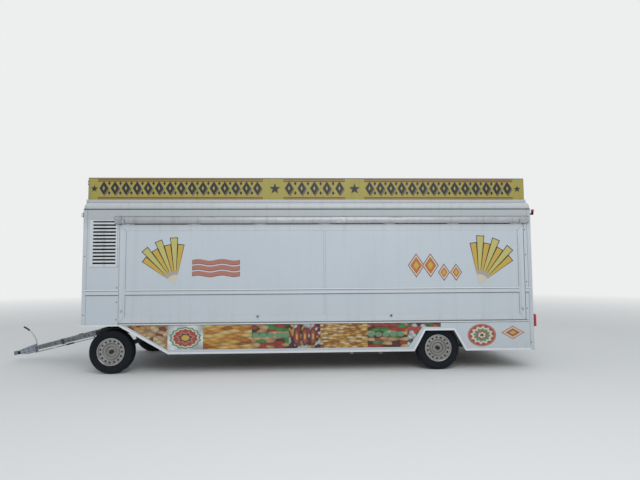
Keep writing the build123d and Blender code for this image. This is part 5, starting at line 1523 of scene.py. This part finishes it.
bars("outline_lamps_white", whites, "root", "lamp_white", lens_clear, soften=0.009)
plate_blank = weathered(
    "plate_aluminium_blank", "#C2C5C4", "#B8BBBA", "#8D8B85", roughness=0.4, metallic=0.5, wave=0.0002
)
finish_nodes(plate_blank, "plate_holder")
reflectors = both_sides((REAR_X, REAR_X + 0.008, *REFLECTOR_Y, *REFLECTOR_Z))
bars("rear_reflectors", reflectors, "root", "lamp_red", lens_red, soften=0.003)

# Drawbar: hot-dip galvanised channels bolted to a cast overrun housing, with a clamp round each
# bar, a small white reflector, a black rubber grip on the brake lever and the brake rod below.
BAR_X = -2.54295
BAR_Z = 0.547
BAR_TILT = radians(14.0)
BAR_OUT = 0.661
BAR_IN = 0.045
BAR_RUN = (0.060, 1.310)
BAR_BOLT = (0.011, 0.008)  # radius, height
HOUSING_BOLT = (0.010, 0.007)
ROD_RADIUS = 0.009
SLEEVE_RADIUS = 0.015
GRIP_RADIUS = 0.0125
GRIP_RING = 0.0012
GRIP_END = 0.008
SPANGLES_A_METRE = 55.0
STAINS_A_METRE = 7.0
galvanised, tree, shader, coords = new_material("hot_dip_galvanised")
spangle = add(tree, "TexVoronoi", {"Vector": coords, "Scale": SPANGLES_A_METRE})
flake = add(tree, "SeparateColor", {0: spangle.outputs["Color"]}).outputs[0]
zinc = blend(tree, flake, linear("#8A9298"), linear("#697076"))
stained = ranged(tree, noise(tree, coords, STAINS_A_METRE, 6.0), 0.5, 0.72)
dull = blend(tree, stained, zinc, linear("#60584F"))
tree.links.new(dull, shader.inputs["Base Color"])
sheen = ranged(tree, flake, at_low=0.35, at_high=0.6)
tree.links.new(sheen, shader.inputs["Roughness"])
shader.inputs["Metallic"].default_value = 0.6
finish_nodes(galvanised, "drawbar_frame")
housing_paint = weathered(
    "housing_paint_blue_grey", "#9AA5B4", "#8F99A6", "#5C5A56", roughness=0.35, streak=0.3, wave=0.0003
)
finish_nodes(housing_paint, "coupling_housing")
finish_nodes(screw_zinc, "coupling_head")
finish_nodes(trim_white, "handbrake_lever")


def on_bar(points, hand=None):
    """Moves (u, d, v) to the trailer's frame: u down the bar from its hinge, v up from it.

    With a hand, d is counted outwards from the outer face of that bar, which runs in to the nose.
    """
    u, d, v = points[..., 0], points[..., 1], points[..., 2]
    if hand is not None:
        share = (u - BAR_RUN[0]) / (BAR_RUN[1] - BAR_RUN[0])
        d = hand * (BAR_OUT + (BAR_IN - BAR_OUT) * share + d)
    x = BAR_X - u * cos(BAR_TILT) - v * sin(BAR_TILT)
    z = BAR_Z - u * sin(BAR_TILT) + v * cos(BAR_TILT)
    return np.stack([x, d, z], -1)


def along_bar(hand=None):
    """Bend for a piece on the drawbar; all but the near bar turn the corners' order over."""
    return lambda points: (on_bar(points, hand), hand is None or hand > 0)


# Worn bright zinc on the channels' flanges, made lighter than the bar as a painted highlight along
# their edges.
flange_zinc_highlit = weathered(
    "flange_zinc_worn_and_painted_highlight",
    "#B0B6BB",
    "#8F969C",
    "#5A5249",
    roughness=0.4,
    metallic=0.4,
    streak=0.6,
    wave=0.0002,
)
reflector_white = weathered(
    "reflector_white_plastic", "#E3E5E4", "#DADCDC", "#A9A8A3", roughness=0.25, wave=0.0001
)
dark_zinc = weathered(
    "clamp_steel_rusty", "#4B4642", "#5B4B40", "#6E5F52", roughness=0.6, metallic=0.4, wave=0.0002
)
flange = (0.08, 1.29, -0.030, 0.005)
flanges = [(*flange, 0.030, 0.037), (*flange, -0.037, -0.030)]
clamp = [
    (0.685, 0.725, -0.056, 0.010, 0.035, 0.045),
    (0.685, 0.725, -0.056, 0.010, -0.045, -0.035),
    (0.685, 0.725, 0.001, 0.010, -0.045, 0.045),
]
bolts = np.array([(u, 0.0005, 0.0) for u in (0.16, 0.24, 0.50, 0.58, 0.86, 1.12, 1.20)])
for side, hand in (("near", -1), ("far", 1)):
    place = along_bar(hand)
    out = (0, hand, 0)
    bars(f"drawbar_flanges_{side}", flanges, "drawbar", "galvanised", flange_zinc_highlit, bend=place)
    bars(f"drawbar_clamp_{side}", clamp, "drawbar", "galvanised", dark_zinc, bend=place)
    heads = on_bar(bolts, hand)
    domes(f"drawbar_bolts_{side}", heads, *BAR_BOLT, out, "drawbar", "zinc", dark_zinc)
bars(
    "drawbar_reflector",
    [(0.835, 0.925, 0.002, 0.006, -0.084, -0.044)],
    "drawbar",
    "lamp_white",
    reflector_white,
    bend=along_bar(-1),
)
housing_bolts = np.array([(u, -0.0385, v) for u in (1.34, 1.42, 1.50) for v in (-0.020, 0.025)])
heads = on_bar(housing_bolts)
domes("housing_bolts", heads, *HOUSING_BOLT, (0, -1, 0), "drawbar", "zinc", dark_zinc)
grip_line = np.array(
    [(1.383, 0.044, 0.310), (1.410, 0.044, 0.345), (1.437, 0.044, 0.372), (1.463, 0.044, 0.393)]
)
stations = np.linspace(0, 3, 30)
grip_path = np.stack([np.interp(stations, np.arange(4), grip_line[:, k]) for k in range(3)], -1)
swell = GRIP_RADIUS + GRIP_RING * np.sin(stations * 18) ** 2
swell[[0, -1]] = GRIP_END
grip = tube(on_bar(grip_path), swell)
mesh_piece("brake_lever_grip", *grip, "drawbar", "black", black_plastic_and_shade)
rod = on_bar(np.array([(1.33 - 0.056 * n, -0.02 - 0.0135 * n, -0.068) for n in range(21)]))
mesh_piece("brake_rod", *tube(rod, ROD_RADIUS), "drawbar", "zinc", bright_edge)
sleeve = on_bar(np.array([(0.74 - 0.012 * n, -0.163 - 0.0029 * n, -0.068) for n in range(12)]))
turnbuckle = tube(sleeve, SLEEVE_RADIUS, 6)
mesh_piece("brake_rod_turnbuckle", *turnbuckle, "drawbar", "zinc", dark_zinc, sharp=25)
hangers = [
    (u - 0.008, u + 0.008, y - 0.003, y + 0.003, -0.070, -0.030)
    for u, y in ((1.315, -0.024), (0.225, -0.286))
]
bars("brake_rod_hangers", hangers, "drawbar", "zinc", dark_zinc, bend=along_bar())
collar = on_bar(np.array([(1.556 + 0.012 * k, 0, -0.002) for k in range(5)]))
gaiter = tube(collar, np.array([0.030, 0.033, 0.030, 0.033, 0.030]), 24)
mesh_piece("coupling_gaiter", *gaiter, "drawbar", "black", rubber)
